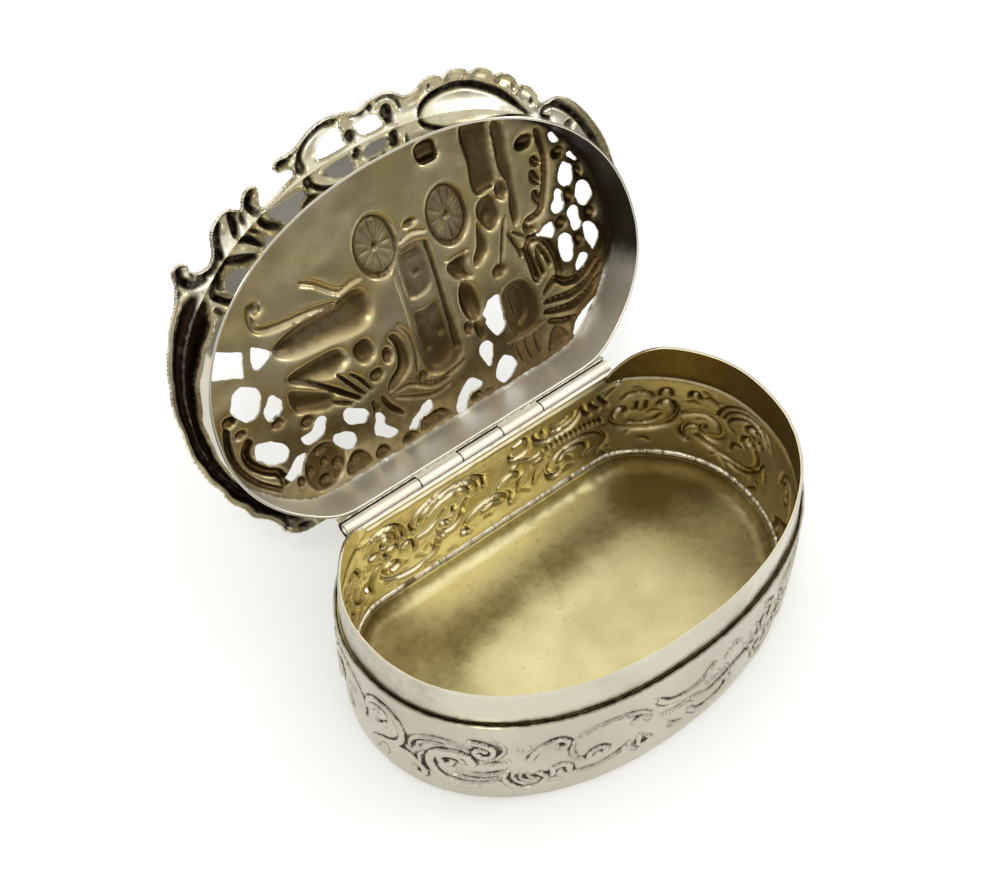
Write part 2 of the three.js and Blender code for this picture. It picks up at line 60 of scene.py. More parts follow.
def addCamera():
    # looks from target + distance * back towards the target, turned by roll about that line
    azimuth, elevation, roll = (math.radians(camera[key]) for key in ("azimuth", "elevation", "roll"))
    flat = math.cos(elevation)
    back = np.array([math.sin(azimuth) * flat, -math.cos(azimuth) * flat, math.sin(elevation)])
    right = np.array([math.cos(azimuth), math.sin(azimuth), 0.0])
    up = np.cross(back, right)
    across = math.cos(roll) * right + math.sin(roll) * up
    along = -math.sin(roll) * right + math.cos(roll) * up
    place = (np.array(camera["target"]) + back * camera["distance"]) * mm
    data = bpy.data.cameras.new("camera")
    data.lens = camera["lens"]
    data.sensor_width = camera["sensor"]
    data.clip_start = 0.01
    obj = bpy.data.objects.new("camera", data)
    bpy.context.collection.objects.link(obj)
    turned = np.stack([across, along, back], 1)
    obj.matrix_world = Matrix([[*row, at] for row, at in zip(turned, place)] + [[0, 0, 0, 1]])
    bpy.context.scene.camera = obj


addCamera()


def boxOf(node):
    # low and high corner of a CAD node, in millimetres
    return [np.array(corner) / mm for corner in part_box(node)]


# Plan of the box. Its sizes come from the frame; the roundness of its two halves is the maker's.
bezelLow, bezelHigh = boxOf("bezel")
baseLow, baseHigh = boxOf("base_plate")
lipHeight = boxOf("body_wall")[1][2]
bezelTop = bezelHigh[2]
hingeAxis = np.array([joint for joint in frame["joints"] if joint["name"] == "lid_hinge"][0]["pos_m"]) / mm
lidOpen = 116.0  # degrees from shut to open

plan = {
    "bezelFoot": 0.3, "wallFace": 1.15, "bandInside": 0.7, "bandOutside": 1.2,  # outward from the plan line
    "gap": 0.3,  # between pieces that are soldered together
    "knuckle": 1.15,  # radius of the hinge tube
    "frontRound": 2.15, "backRound": 2.13,  # 2 is an ellipse, more is squarer
    "backCut": 5.9,  # the back curve would reach this much further if it weren't cut straight
    "cornerBlend": 0.6,  # softness of the two back corners
}
halfLength = bezelHigh[0] - plan["bezelFoot"]
frontDepth = -bezelLow[1] - plan["bezelFoot"]
backFlat = hingeAxis[1] - plan["bandOutside"] - plan["gap"] - plan["knuckle"]


def planLine(turn):
    # x = a sgn(cos t)|cos t|^(2/n), y = b sgn(sin t)|sin t|^(2/n), the back cut off softly at backFlat
    along, across = np.cos(turn), np.sin(turn)
    isBack = across > 0
    power = np.where(isBack, 2 / plan["backRound"], 2 / plan["frontRound"])
    x = halfLength * np.sign(along) * np.abs(along) ** power
    depth = np.where(isBack, backFlat + plan["backCut"], frontDepth)
    y = depth * np.sign(across) * np.abs(across) ** power
    k = plan["cornerBlend"]
    cut = -k * np.log(np.exp(-np.maximum(y, -5) / k) + np.exp(-backFlat / k))
    return np.stack([x, np.where(isBack, cut, y)], -1)


def planOffset(turn, outward):
    # the plan line moved outward along its normal
    step = 1e-3
    tangent = planLine(turn + step) - planLine(turn - step)
    tangent = tangent / np.linalg.norm(tangent, axis=-1, keepdims=True)
    normal = np.stack([tangent[..., 1], -tangent[..., 0]], -1)
    return planLine(turn) + normal * np.asarray(outward)[..., None]


# Length along the wall, from the middle of the front, more to the right
measuredOn = 0.8  # lengths are taken on a line this far outside the plan line
sweepTurns = np.linspace(-1.5 * np.pi, 0.5 * np.pi, 8001)
sweepSteps = np.linalg.norm(np.diff(planOffset(sweepTurns, measuredOn), axis=0), axis=1)
sweepLengths = np.concatenate([[0], np.cumsum(sweepSteps)])
girth = sweepLengths[-1]
sweepLengths = sweepLengths - np.interp(-np.pi / 2, sweepTurns, sweepLengths)


def turnAt(length):
    return np.interp(length, sweepLengths, sweepTurns)


def smooth(t):
    t = np.clip(t, 0, 1)
    return t * t * (3 - 2 * t)


def curveThrough(points, closed=False, steps=6):
    # Catmull-Rom: between b and c, (2b + (c-a)t + (2a-5b+4c-d)t^2 + (3b-a-3c+d)t^3) / 2
    p = np.array(points, float)
    if closed:
        a, b, c, d = np.roll(p, 1, 0), p, np.roll(p, -1, 0), np.roll(p, -2, 0)
    else:
        ends = np.vstack([2 * p[:1] - p[1:2], p, 2 * p[-1:] - p[-2:-1]])
        a, b, c, d = ends[:-3], ends[1:-2], ends[2:-1], ends[3:]
    t = (np.arange(steps) / steps)[None, :, None]
    a, b, c, d = (q[:, None, :] for q in (a, b, c, d))
    line = (2 * b + (c - a) * t + (2 * a - 5 * b + 4 * c - d) * t**2 + (3 * b - a - 3 * c + d) * t**3) / 2
    line = line.reshape(-1, p.shape[1])
    return line if closed else np.vstack([line, p[-1:]])


def nearPath(u, v, path, closed=False):
    # least distance from each point to a polyline, and the share of its length at the nearest place
    ends = np.roll(path, -1, 0) if closed else path[1:]
    starts = path if closed else path[:-1]
    spans = np.linalg.norm(ends - starts, axis=1)
    before = np.concatenate([[0], np.cumsum(spans)])
    best = np.full(u.shape, 1e9)
    share = np.zeros(u.shape)
    for (au, av), (bu, bv), span, passed in zip(starts, ends, spans, before):
        t = ((u - au) * (bu - au) + (v - av) * (bv - av)) / max(span * span, 1e-9)
        t = np.clip(t, 0, 1)
        distance = (u - au - t * (bu - au)) ** 2 + (v - av - t * (bv - av)) ** 2
        closer = distance < best
        best = np.where(closer, distance, best)
        share = np.where(closer, (passed + t * span) / before[-1], share)
    return np.sqrt(best), share


def isInside(u, v, loop):
    # even-odd rule: how often a ray to the right crosses the loop
    inside = np.zeros(u.shape, bool)
    for (au, av), (bu, bv) in zip(loop, np.roll(loop, -1, 0)):
        level = (av > v) != (bv > v)
        if av != bv:
            inside ^= level & (u < au + (v - av) * (bu - au) / (bv - av))
    return inside


def mark(kind, width, height, places):
    # places are x, y, x, y and so on, along the mark or round it
    return kind, width, height, np.array(places, float).reshape(-1, 2)


def rib(width, height, *places):
    return mark("rib", width, height, places)


def roll(width, height, *places):
    return mark("roll", width, height, places)


def leaf(width, height, *places):
    return mark("leaf", width, height, places)


def cut(width, height, *places):
    return mark("cut", width, height, places)


def bead(height, *places):
    # places are the middle, then the half length and half breadth
    return mark("bead", 0, height, places)


def carve(u, v, marks, pressed=False):
    # height over a sheet from its chased marks, by the distance d from each:
    #   rib   round ridge, height * cos^2 across, tapering to both ends
    #   roll  half-round ridge, height * sqrt(1 - (d/half)^2), with round ends
    #   leaf  closed outline, raised height * (1 - (1 - d/width)^2) inside
    #   bead  oval dome, height * sqrt(1 - q), where q is 1 on its oval
    #   cut   groove with a rib's section, taken off last
    # Pressed through to the inside, ribs and rolls alike are broader cos^2 ridges that taper less.
    widen, taper = (1.25, 0.4) if pressed else (1.0, 0.65)
    raised, sunk = np.zeros(u.shape), np.zeros(u.shape)
    for kind, width, height, points in marks:
        if kind == "bead":
            centre, radii = points
            q = ((u - centre[0]) / radii[0]) ** 2 + ((v - centre[1]) / radii[1]) ** 2
            raised = np.maximum(raised, height * np.sqrt(np.clip(1 - q / widen, 0, 1)))
            continue
        reach = width * widen + 1.3
        (left, low), (right, high) = points.min(0) - reach, points.max(0) + reach
        rows = np.flatnonzero((v[:, 0] > low) & (v[:, 0] < high))
        cols = np.flatnonzero((u[0] > left) & (u[0] < right))
        if not len(rows) or not len(cols):
            continue
        window = np.ix_(rows, cols)
        near = u[window], v[window]
        isLeaf = kind == "leaf"
        path = curveThrough(points, closed=isLeaf)
        distance, share = nearPath(*near, path, closed=isLeaf)
        half = width * widen / 2
        if isLeaf:
            rise = height * (1 - (1 - np.clip(distance / width, 0, 1)) ** 2) * isInside(*near, path)
        elif kind == "roll" and not pressed:
            rise = height * np.sqrt(np.clip(1 - (distance / half) ** 2, 0, 1))
        else:
            half = half * (1 - taper + taper * np.sqrt(np.sin(np.pi * np.clip(share, 0.02, 0.98))))
            rise = height * np.cos(np.pi / 2 * np.clip(distance / half, 0, 1)) ** 2
        field = sunk if kind == "cut" else raised
        field[window] = np.maximum(field[window], rise)
    return raised - sunk


def blurred(field, reach, around=False):
    # Gaussian blur along both axes, wrapped along the second where the sheet goes round
    count = int(3 * reach)
    weights = np.exp(-0.5 * (np.arange(-count, count + 1) / reach) ** 2)
    weights = weights / weights.sum()
    for axis in (0, 1):
        wide = np.pad(field, [(count, count) if axis == k else (0, 0) for k in (0, 1)],
                      mode="wrap" if around and axis == 1 else "edge")
        size = field.shape[axis]
        field = sum(w * np.take(wide, range(i, i + size), axis=axis) for i, w in enumerate(weights))
    return field


def lumps(u, v, size, seed):
    # smooth value noise from -1 to 1: random heights on a lattice, blended by the smooth step. Numbers
    # that a caller adds to u and v only slide the pattern.
    table = np.random.default_rng(seed).uniform(-1, 1, (64, 64))
    a, b = u / size, v / size
    i, j = np.floor(a).astype(int), np.floor(b).astype(int)
    s, t = smooth(a - i), smooth(b - j)
    at = lambda di, dj: table[(i + di) % 64, (j + dj) % 64]
    return (at(0, 0) * (1 - s) + at(1, 0) * s) * (1 - t) + (at(0, 1) * (1 - s) + at(1, 1) * s) * t


def shifted(marks, along, mirror=1):
    # marks moved along a sheet, and turned left to right first where mirror is -1
    moved = []
    for kind, width, height, points in marks:
        points = points.copy()
        placed = 1 if kind == "bead" else len(points)
        points[:placed, 0] = mirror * points[:placed, 0] + along
        moved.append((kind, width, height, points))
    return moved


def openLid(points):
    # closed lid to open lid: turned back by lidOpen about the hinge axis
    angle = math.radians(lidOpen)
    y, z = points[:, 1] - hingeAxis[1], points[:, 2] - hingeAxis[2]
    turned = points.copy()
    turned[:, 1] = math.cos(angle) * y + math.sin(angle) * z + hingeAxis[1]
    turned[:, 2] = -math.sin(angle) * y + math.cos(angle) * z + hingeAxis[2]
    return turned


def gridFaces(rows, cols, wrapRows=False, wrapCols=False):
    # quads between points numbered row * cols + col
    i = np.arange(rows if wrapRows else rows - 1)
    j = np.arange(cols if wrapCols else cols - 1)
    i, j = (q.ravel() for q in np.meshgrid(i, j, indexing="ij"))
    nextRow, nextCol = (i + 1) % rows, (j + 1) % cols
    return np.stack([i * cols + j, nextRow * cols + j, nextRow * cols + nextCol, i * cols + nextCol], 1)


def hoopFaces(points):
    # the faces of a closed hoop, from its rows round the plan and columns round the section
    return gridFaces(*points.shape[:2], wrapRows=True, wrapCols=True)


def barFaces(rows, cols, outward=1):
    # sides and end caps of a bar; outward is -1 where its section runs the other way round
    ring = np.arange(cols)
    faces = [*gridFaces(rows, cols, wrapCols=True), ring, (ring + (rows - 1) * cols)[::-1]]
    return [face[::outward] for face in faces]


creaseAngle = 38  # degrees; a sharper edge is shaded as an edge


def addPiece(name, body, nodes, points, faces, materials, finish=None, tarnishAndShade=None):
    mesh = bpy.data.meshes.new(name)
    mesh.from_pydata((points * mm).tolist(), [], [list(face) for face in faces])
    for material in materials:
        mesh.materials.append(material)
    if finish is not None:
        mesh.polygons.foreach_set("material_index", np.asarray(finish, np.int32))
    if tarnishAndShade is not None:
        mesh.attributes.new("tarnishAndShade", "FLOAT", "POINT").data.foreach_set("value", tarnishAndShade.astype(np.float32))
    mesh.polygons.foreach_set("use_smooth", np.ones(len(mesh.polygons), bool))
    mesh.update()
    mesh.set_sharp_from_angle(angle=math.radians(creaseAngle))
    piece = bpy.data.objects.new(name, mesh)
    bpy.context.collection.objects.link(piece)
    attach(piece, body)
    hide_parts(*nodes)
    print(name, len(mesh.vertices), "vertices")


# Materials. Object coordinates are in metres, so a pattern of size s mm has scale 1000 / s.
def paint(look):
    # colour: two tones in patches, a stain, the dark that the piece's attribute gives, for tarnish, dirt and
    # painted shade, with some speckle, and pits.
    # Roughness goes in patches too and rises where it is dark. Bump: grain + brushing + 6 * dents.
    material = bpy.data.materials.new(look["name"])
    material.use_nodes = True
    nodes, links = material.node_tree.nodes, material.node_tree.links
    shader = nodes["Principled BSDF"]
    shader.inputs["Metallic"].default_value = look.get("metallic", 1.0)
    place = nodes.new("ShaderNodeTexCoord").outputs["Object"]

    def noise(size, detail=4.0, stretch=None, roughness=0.55):
        node = nodes.new("ShaderNodeTexNoise")
        node.inputs["Scale"].default_value = 1000.0 / size
        node.inputs["Detail"].default_value = detail
        node.inputs["Roughness"].default_value = roughness
        source = place
        if stretch:
            mapping = nodes.new("ShaderNodeMapping")
            mapping.inputs["Scale"].default_value = stretch
            links.new(place, mapping.inputs["Vector"])
            source = mapping.outputs["Vector"]
        links.new(source, node.inputs["Vector"])
        return node.outputs["Fac"]

    def ramp(value, low, high, bottom=0.0, top=1.0):
        node = nodes.new("ShaderNodeMapRange")
        node.interpolation_type = "SMOOTHSTEP"
        for key, number in zip(("From Min", "From Max", "To Min", "To Max"), (low, high, bottom, top)):
            node.inputs[key].default_value = number
        links.new(value, node.inputs["Value"])
        return node.outputs["Result"]

    def mix(amount, first, second):
        node = nodes.new("ShaderNodeMix")
        node.data_type = "RGBA"
        links.new(amount, node.inputs["Factor"])
        for key, colour in (("A", first), ("B", second)):
            socket = [s for s in node.inputs if s.name == key and s.type == "RGBA"][0]
            if isinstance(colour, tuple):
                socket.default_value = (*colour, 1.0)
            else:
                links.new(colour, socket)
        return [s for s in node.outputs if s.type == "RGBA"][0]

    def combine(first, second, operation="ADD", clamp=False):
        node = nodes.new("ShaderNodeMath")
        node.operation = operation
        node.use_clamp = clamp
        for socket, value in zip(node.inputs, (first, second)):
            if isinstance(value, (int, float)):
                socket.default_value = value
            else:
                links.new(value, socket)
        return node.outputs["Value"]

    colour = mix(ramp(noise(look["patch"]), 0.38, 0.66), look["colour"], look["second"])
    if "stain" in look:
        colour = mix(ramp(noise(look["stainSize"], 6.0), *look["stainRange"]), colour, look["stain"])
    tarnishAndShade = nodes.new("ShaderNodeAttribute")
    tarnishAndShade.attribute_name = "tarnishAndShade"
    speckle = look.get("speckle", 0.16)
    speckles = ramp(noise(1.6, 5.0), 0.3, 0.75, -speckle, speckle)
    dirtAndShade = combine(tarnishAndShade.outputs["Fac"], speckles, clamp=True)
    colour = mix(ramp(dirtAndShade, *look.get("darkRange", (0.15, 0.75))), colour, look["dark"])
    if "pits" in look:
        pitted = ramp(noise(look["pits"], 2.0, roughness=0.3), 0.70, 0.76, 0.0, look["pitStrength"])
        colour = mix(pitted, colour, look["dark"])
    links.new(colour, shader.inputs["Base Color"])

    roughPatch = 9
    rough = ramp(noise(roughPatch, 5.0), 0.3, 0.7, *look["rough"])
    rough = combine(rough, ramp(dirtAndShade, 0.1, 0.8, 0.0, look.get("darkRough", 0.25)), clamp=True)
    links.new(rough, shader.inputs["Roughness"])

    height = noise(look.get("grain", 0.5), 3.0)
    if "brushed" in look:
        height = combine(height, noise(look["brushSize"], 2.0, stretch=look["brushed"]))
    if "dents" in look:
        height = combine(height, combine(noise(look["dents"], 1.0), 6.0, "MULTIPLY"))
    bump = nodes.new("ShaderNodeBump")
    bump.inputs["Strength"].default_value = look["bump"]
    bump.inputs["Distance"].default_value = look["bumpDepth"] * mm
    links.new(height, bump.inputs["Height"])
    links.new(bump.outputs["Normal"], shader.inputs["Normal"])
    return material


silverWall = paint({
    "name": "silver_wall", "colour": (0.57, 0.535, 0.43), "second": (0.50, 0.465, 0.365), "patch": 26,
    "dark": (0.055, 0.042, 0.03), "darkRange": (0.18, 0.85), "rough": (0.2, 0.36), "bump": 0.25,
    "bumpDepth": 0.03, "brushed": (1, 1, 12), "brushSize": 1.4,
})
silverBezel = paint({
    "name": "silver_bezel", "colour": (0.61, 0.575, 0.46), "second": (0.53, 0.50, 0.39), "patch": 12,
    "dark": (0.05, 0.04, 0.03), "speckle": 0.05, "rough": (0.16, 0.3), "bump": 0.2, "bumpDepth": 0.02,
    "brushed": (1, 1, 14), "brushSize": 2.0,
})
gilt = paint({
    "name": "gilt_inside", "colour": (0.96, 0.88, 0.60), "second": (0.90, 0.79, 0.47), "patch": 20,
    "dark": (0.13, 0.08, 0.016), "darkRange": (0.1, 1.0), "speckle": 0.03, "rough": (0.16, 0.28), "bump": 0.3,
    "bumpDepth": 0.02,
})
giltFloor = paint({
    "name": "gilt_floor", "colour": (0.80, 0.72, 0.39), "second": (0.74, 0.65, 0.32), "patch": 34,
    "stain": (0.66, 0.57, 0.31), "stainSize": 30, "stainRange": (0.42, 0.8), "pits": 0.8,
    "dark": (0.19, 0.135, 0.04), "darkRange": (0.02, 1.0), "pitStrength": 0.38, "speckle": 0.05,
    "rough": (0.34, 0.48), "bump": 0.3, "bumpDepth": 0.03,
})
solder = paint({
    "name": "solder", "colour": (0.97, 0.95, 0.88), "second": (0.84, 0.77, 0.6), "patch": 0.9,
    "dark": (0.2, 0.14, 0.06), "metallic": 0.7, "rough": (0.3, 0.5), "bump": 0.8, "bumpDepth": 0.1,
    "grain": 0.35,
})
silverTube = paint({
    "name": "silver_tube", "colour": (0.97, 0.92, 0.79), "second": (0.92, 0.85, 0.69), "patch": 12,
    "dark": (0.07, 0.05, 0.03), "metallic": 0.6, "rough": (0.36, 0.5), "bump": 0.2, "bumpDepth": 0.02,
    "brushed": (0.06, 1, 1), "brushSize": 0.5,
})
tonedBand = paint({
    "name": "toned_band", "colour": (0.92, 0.88, 0.76), "second": (0.82, 0.77, 0.62), "patch": 16,
    "dark": (0.03, 0.02, 0.012), "metallic": 0.75, "rough": (0.3, 0.42), "bump": 0.2, "bumpDepth": 0.03,
    "brushed": (1, 1, 10), "brushSize": 1.6, "speckle": 0.03,
})
brightBand = paint({
    "name": "bright_band", "colour": (0.60, 0.565, 0.46), "second": (0.54, 0.50, 0.39), "patch": 18,
    "dark": (0.05, 0.04, 0.03), "rough": (0.05, 0.1), "bump": 0.08, "bumpDepth": 0.01,
})
tonedSheet = paint({
    "name": "toned_sheet", "colour": (0.54, 0.455, 0.27), "second": (0.46, 0.365, 0.165), "patch": 17,
    "stain": (0.38, 0.295, 0.14), "stainSize": 9, "stainRange": (0.52, 0.75),
    "dark": (0.10, 0.066, 0.026), "darkRange": (0.1, 0.9), "speckle": 0.06, "rough": (0.2, 0.34),
    "darkRough": 0.12, "bump": 0.3, "bumpDepth": 0.03, "dents": 5.0,
})
borderSilver = paint({
    "name": "border_silver", "colour": (0.74, 0.70, 0.56), "second": (0.62, 0.57, 0.41), "patch": 7,
    "stain": (0.28, 0.20, 0.13), "stainSize": 2.4, "stainRange": (0.6, 0.78),
    "dark": (0.022, 0.012, 0.008), "darkRange": (0.16, 0.95), "rough": (0.16, 0.32), "bump": 0.35,
    "bumpDepth": 0.04,
})
print("materials made")


def hoopPoints(turns, outward, height):
    # rows run round the plan, columns round the section
    flat = planOffset(np.broadcast_to(turns[:, None], outward.shape), outward)
    return np.concatenate([flat, np.broadcast_to(height, outward.shape)[..., None]], -1)


# Body wall
wall = {
    "sheet": 0.55, "flare": 0.35, "flareReach": 0.2, "foot": 1.45, "stations": 940, "levels": 92,
    "notchHalf": 30.06, "bearerFoot": 23.2,  # the wall stops below the hinge bearer
    "skinSplit": 0.16,  # from the outside face to where the silver and gilt skins meet
    "gain": 1.25, "groove": 0.6,  # shares of the marks' heights and of the grooves beside them
    "skinGap": 0.1, "swell": 0.45, "depth": 2.5,  # inside face, its ground and its marks
    "bead": 3.5, "innerTop": 25.0, "lipFade": 25.7,  # heights between which the inside is embossed
    # how much painted shade darkens the gilt inside towards the right end
    "rightShade": 0.6,
}
squeezed = 0.02  # the wall's rows above the bearer's foot are pressed together to this share


def wallFace(z):
    # flare * sin(pi/2 * down/reach) under the lip, then a quarter ellipse that tucks in to the foot
    down = 1 - z / lipHeight
    flare = wall["flare"] * np.sin(np.pi / 2 * np.clip(down / wall["flareReach"], 0, 1))
    tuck = np.clip((down - wall["flareReach"]) / (1 - wall["flareReach"]), 0, 1)
    return plan["wallFace"] - flare - wall["foot"] * (1 - np.sqrt(np.clip(1 - tuck * tuck, 0, 1)))


# Chased scrolls of the wall by length along it and height. Those of the right and back show inside.
wallFront = [
    roll(1.3, 0.34, -60.4, 16.5, -59.8, 19.2, -57.6, 20.8, -55, 20.4, -53.2, 18, -52.7, 15, -53.4, 12,
        -55.4, 10, -57.6, 8.6, -59.6, 6.5),
    roll(1.2, 0.3, -59.5, 16.8, -58.8, 18.4, -57.2, 18.6, -56.4, 17.4, -57.2, 16.4),
    rib(1.1, 0.3, -58.6, 14.6, -57.4, 14, -56.2, 14.8, -56.4, 16),
    roll(1.3, 0.32, -55.2, 10.2, -52.5, 10.4, -50.2, 9, -48.8, 6.8, -48.9, 5, -50.2, 4.6, -50.8, 5.8),
    rib(1.4, 0.3, -59.6, 3.4, -59, 5.8, -57.6, 7.2, -56.6, 6, -57, 4),
    roll(1.7, 0.38, -40.2, 13.2, -41.2, 15.4, -43.6, 16, -46, 15, -47.4, 12.6, -47.3, 9.8, -45.8, 7.2,
        -43, 5.6, -39.8, 5.3),
    roll(1.1, 0.36, -41.6, 13.4, -42.6, 14.9, -44.6, 14.9, -45.8, 13.4, -45.2, 11.8, -43.8, 12,
        -43.6, 13.3),
    rib(1.2, 0.36, -51, 12.4, -51, 15.2, -49.2, 17.8, -46.2, 19.2, -42.8, 18.8, -40.6, 17.2),
    rib(1, 0.34, -49.8, 13.4, -49.4, 15.8, -47.6, 17.4, -45, 17.8),
    rib(1, 0.34, -49.2, 8.5, -49.5, 11, -48.6, 13.2),
    rib(1.3, 0.34, -42.6, 10.4, -40, 9.6, -37, 10, -34, 11.4),
    rib(1.2, 0.34, -43.4, 8.6, -40.4, 7.9, -37, 8.7, -34.3, 10.6),
    rib(1.2, 0.34, -44.4, 7, -41.4, 6.2, -38, 6.8, -35, 9),
    roll(1.2, 0.34, -40.6, 20.4, -38.4, 19.9, -36.8, 18.4, -36.9, 16.6, -38.4, 15.8, -39.6, 17, -39, 18.2,
        -38, 17.8),
    rib(0.9, 0.3, -37.4, 21.2, -35.4, 20, -34.9, 17.6, -36.2, 15.6, -38.4, 14.6, -38.2, 13.7, -35.8, 13.8,
        -33.6, 14.6),
    rib(0.7, 0.25, -32.4, 19.2, -31.9, 17.4),
    rib(0.7, 0.25, -31.2, 17.4, -30.4, 18.8),
    roll(1.1, 0.34, -30.6, 14.5, -29.4, 17, -27.6, 19, -25.4, 19.6, -24.2, 18.2, -24.8, 16.8, -25.8, 17.4),
    rib(1, 0.32, -23.2, 17.8, -23.4, 14.8, -22.6, 12.2, -20.8, 10.4),
    rib(1.1, 0.32, -22.4, 18.6, -19.2, 20, -15.2, 20.2, -11.4, 19, -9, 16.8, -8.4, 14.4),
    roll(1, 0.32, -20.2, 10.8, -19.8, 12.3, -18.3, 12.9, -17, 12, -17.2, 10.8),
    roll(1, 0.3, -12, 16.6, -10.6, 17.3, -9.6, 16.2, -8.9, 14.6),
    rib(1.1, 0.32, -24, 10.4, -23.6, 8, -21.4, 6.6, -17.8, 6.6, -14.4, 8.2, -12.4, 10),
    roll(1, 0.32, -34.6, 10.6, -34.7, 8, -33.2, 5.6, -30.6, 4.5, -28.4, 5.4, -27.6, 7.6, -28.8, 9.4),
    rib(0.8, 0.3, -33.4, 10.2, -33, 7.8, -31, 5.8),
    rib(0.8, 0.3, -32.2, 10.2, -31.8, 8, -30, 6.6),
    rib(0.8, 0.3, -31, 10, -30.4, 8.4, -29, 7.6),
    roll(1.1, 0.32, -26.6, 8, -26.4, 10, -24.8, 10.8, -23.6, 9.6, -23.4, 7.8),
    rib(1, 0.3, -28, 8.4, -27, 6.8, -25, 5.6),
    roll(1, 0.32, -10.4, 10.4, -10.6, 8, -9.4, 6.6, -8.2, 7.4, -8.6, 8.6),
    rib(0.9, 0.28, -12.4, 10.2, -12.2, 7.6, -10.6, 5.4),
    roll(1.2, 0.34, -7.6, 19.4, -5.6, 17.2, -2.6, 15.8, 0.6, 15.4, 3, 16.4, 4.8, 18.6),
    roll(1.1, 0.32, 19.5, 20.5, 21.5, 19, 22, 16.8, 20.6, 15.2, 18.9, 15.8, 19.2, 17.2),
    rib(1.1, 0.3, 19.5, 12.8, 21.5, 10.8, 22, 8.2, 20.5, 6.2),
    roll(1.1, 0.32, 0.5, 8.4, 2.4, 6.2, 5.4, 5.4, 8.6, 6, 10.2, 7.8, 9.4, 9.2),
    rib(1, 0.3, -4.6, 9.6, -3.4, 7.4, -1, 6.2),
    rib(1, 0.28, -6.8, 13.8, -3.4, 12.6, 0, 12.4, 3, 11.4),
    roll(1.1, 0.3, 1, 11.6, 4, 10.2, 8, 10.6, 12, 11.8, 15.4, 11.4, 17.2, 9.6, 17.6, 7.6),
    rib(1.2, 0.34, 13.4, 15.2, 14.6, 13, 16.8, 11.8),
    rib(1.1, 0.3, 14.8, 17.2, 15.6, 14.8, 17.8, 12.9),
    rib(1.1, 0.3, 17, 17.6, 17.7, 15.4, 18.6, 13.6),
    rib(1, 0.3, 8, 17, 9.4, 18.8, 11.4, 19.4, 12.2, 17.8),
    roll(1.3, 0.32, -62, 12, -61.6, 15.5, -63.6, 19, -66.8, 21, -70, 20.2, -72.4, 17.6, -73, 14),
    rib(1.2, 0.3, -66, 8, -67.2, 11.5, -66, 15.2, -63.4, 16.6),
] + [rib(0.8, 0.26, 3.4 + 1.7 * k, 14.6, 4.4 + 1.7 * k, 12.6) for k in range(4)]

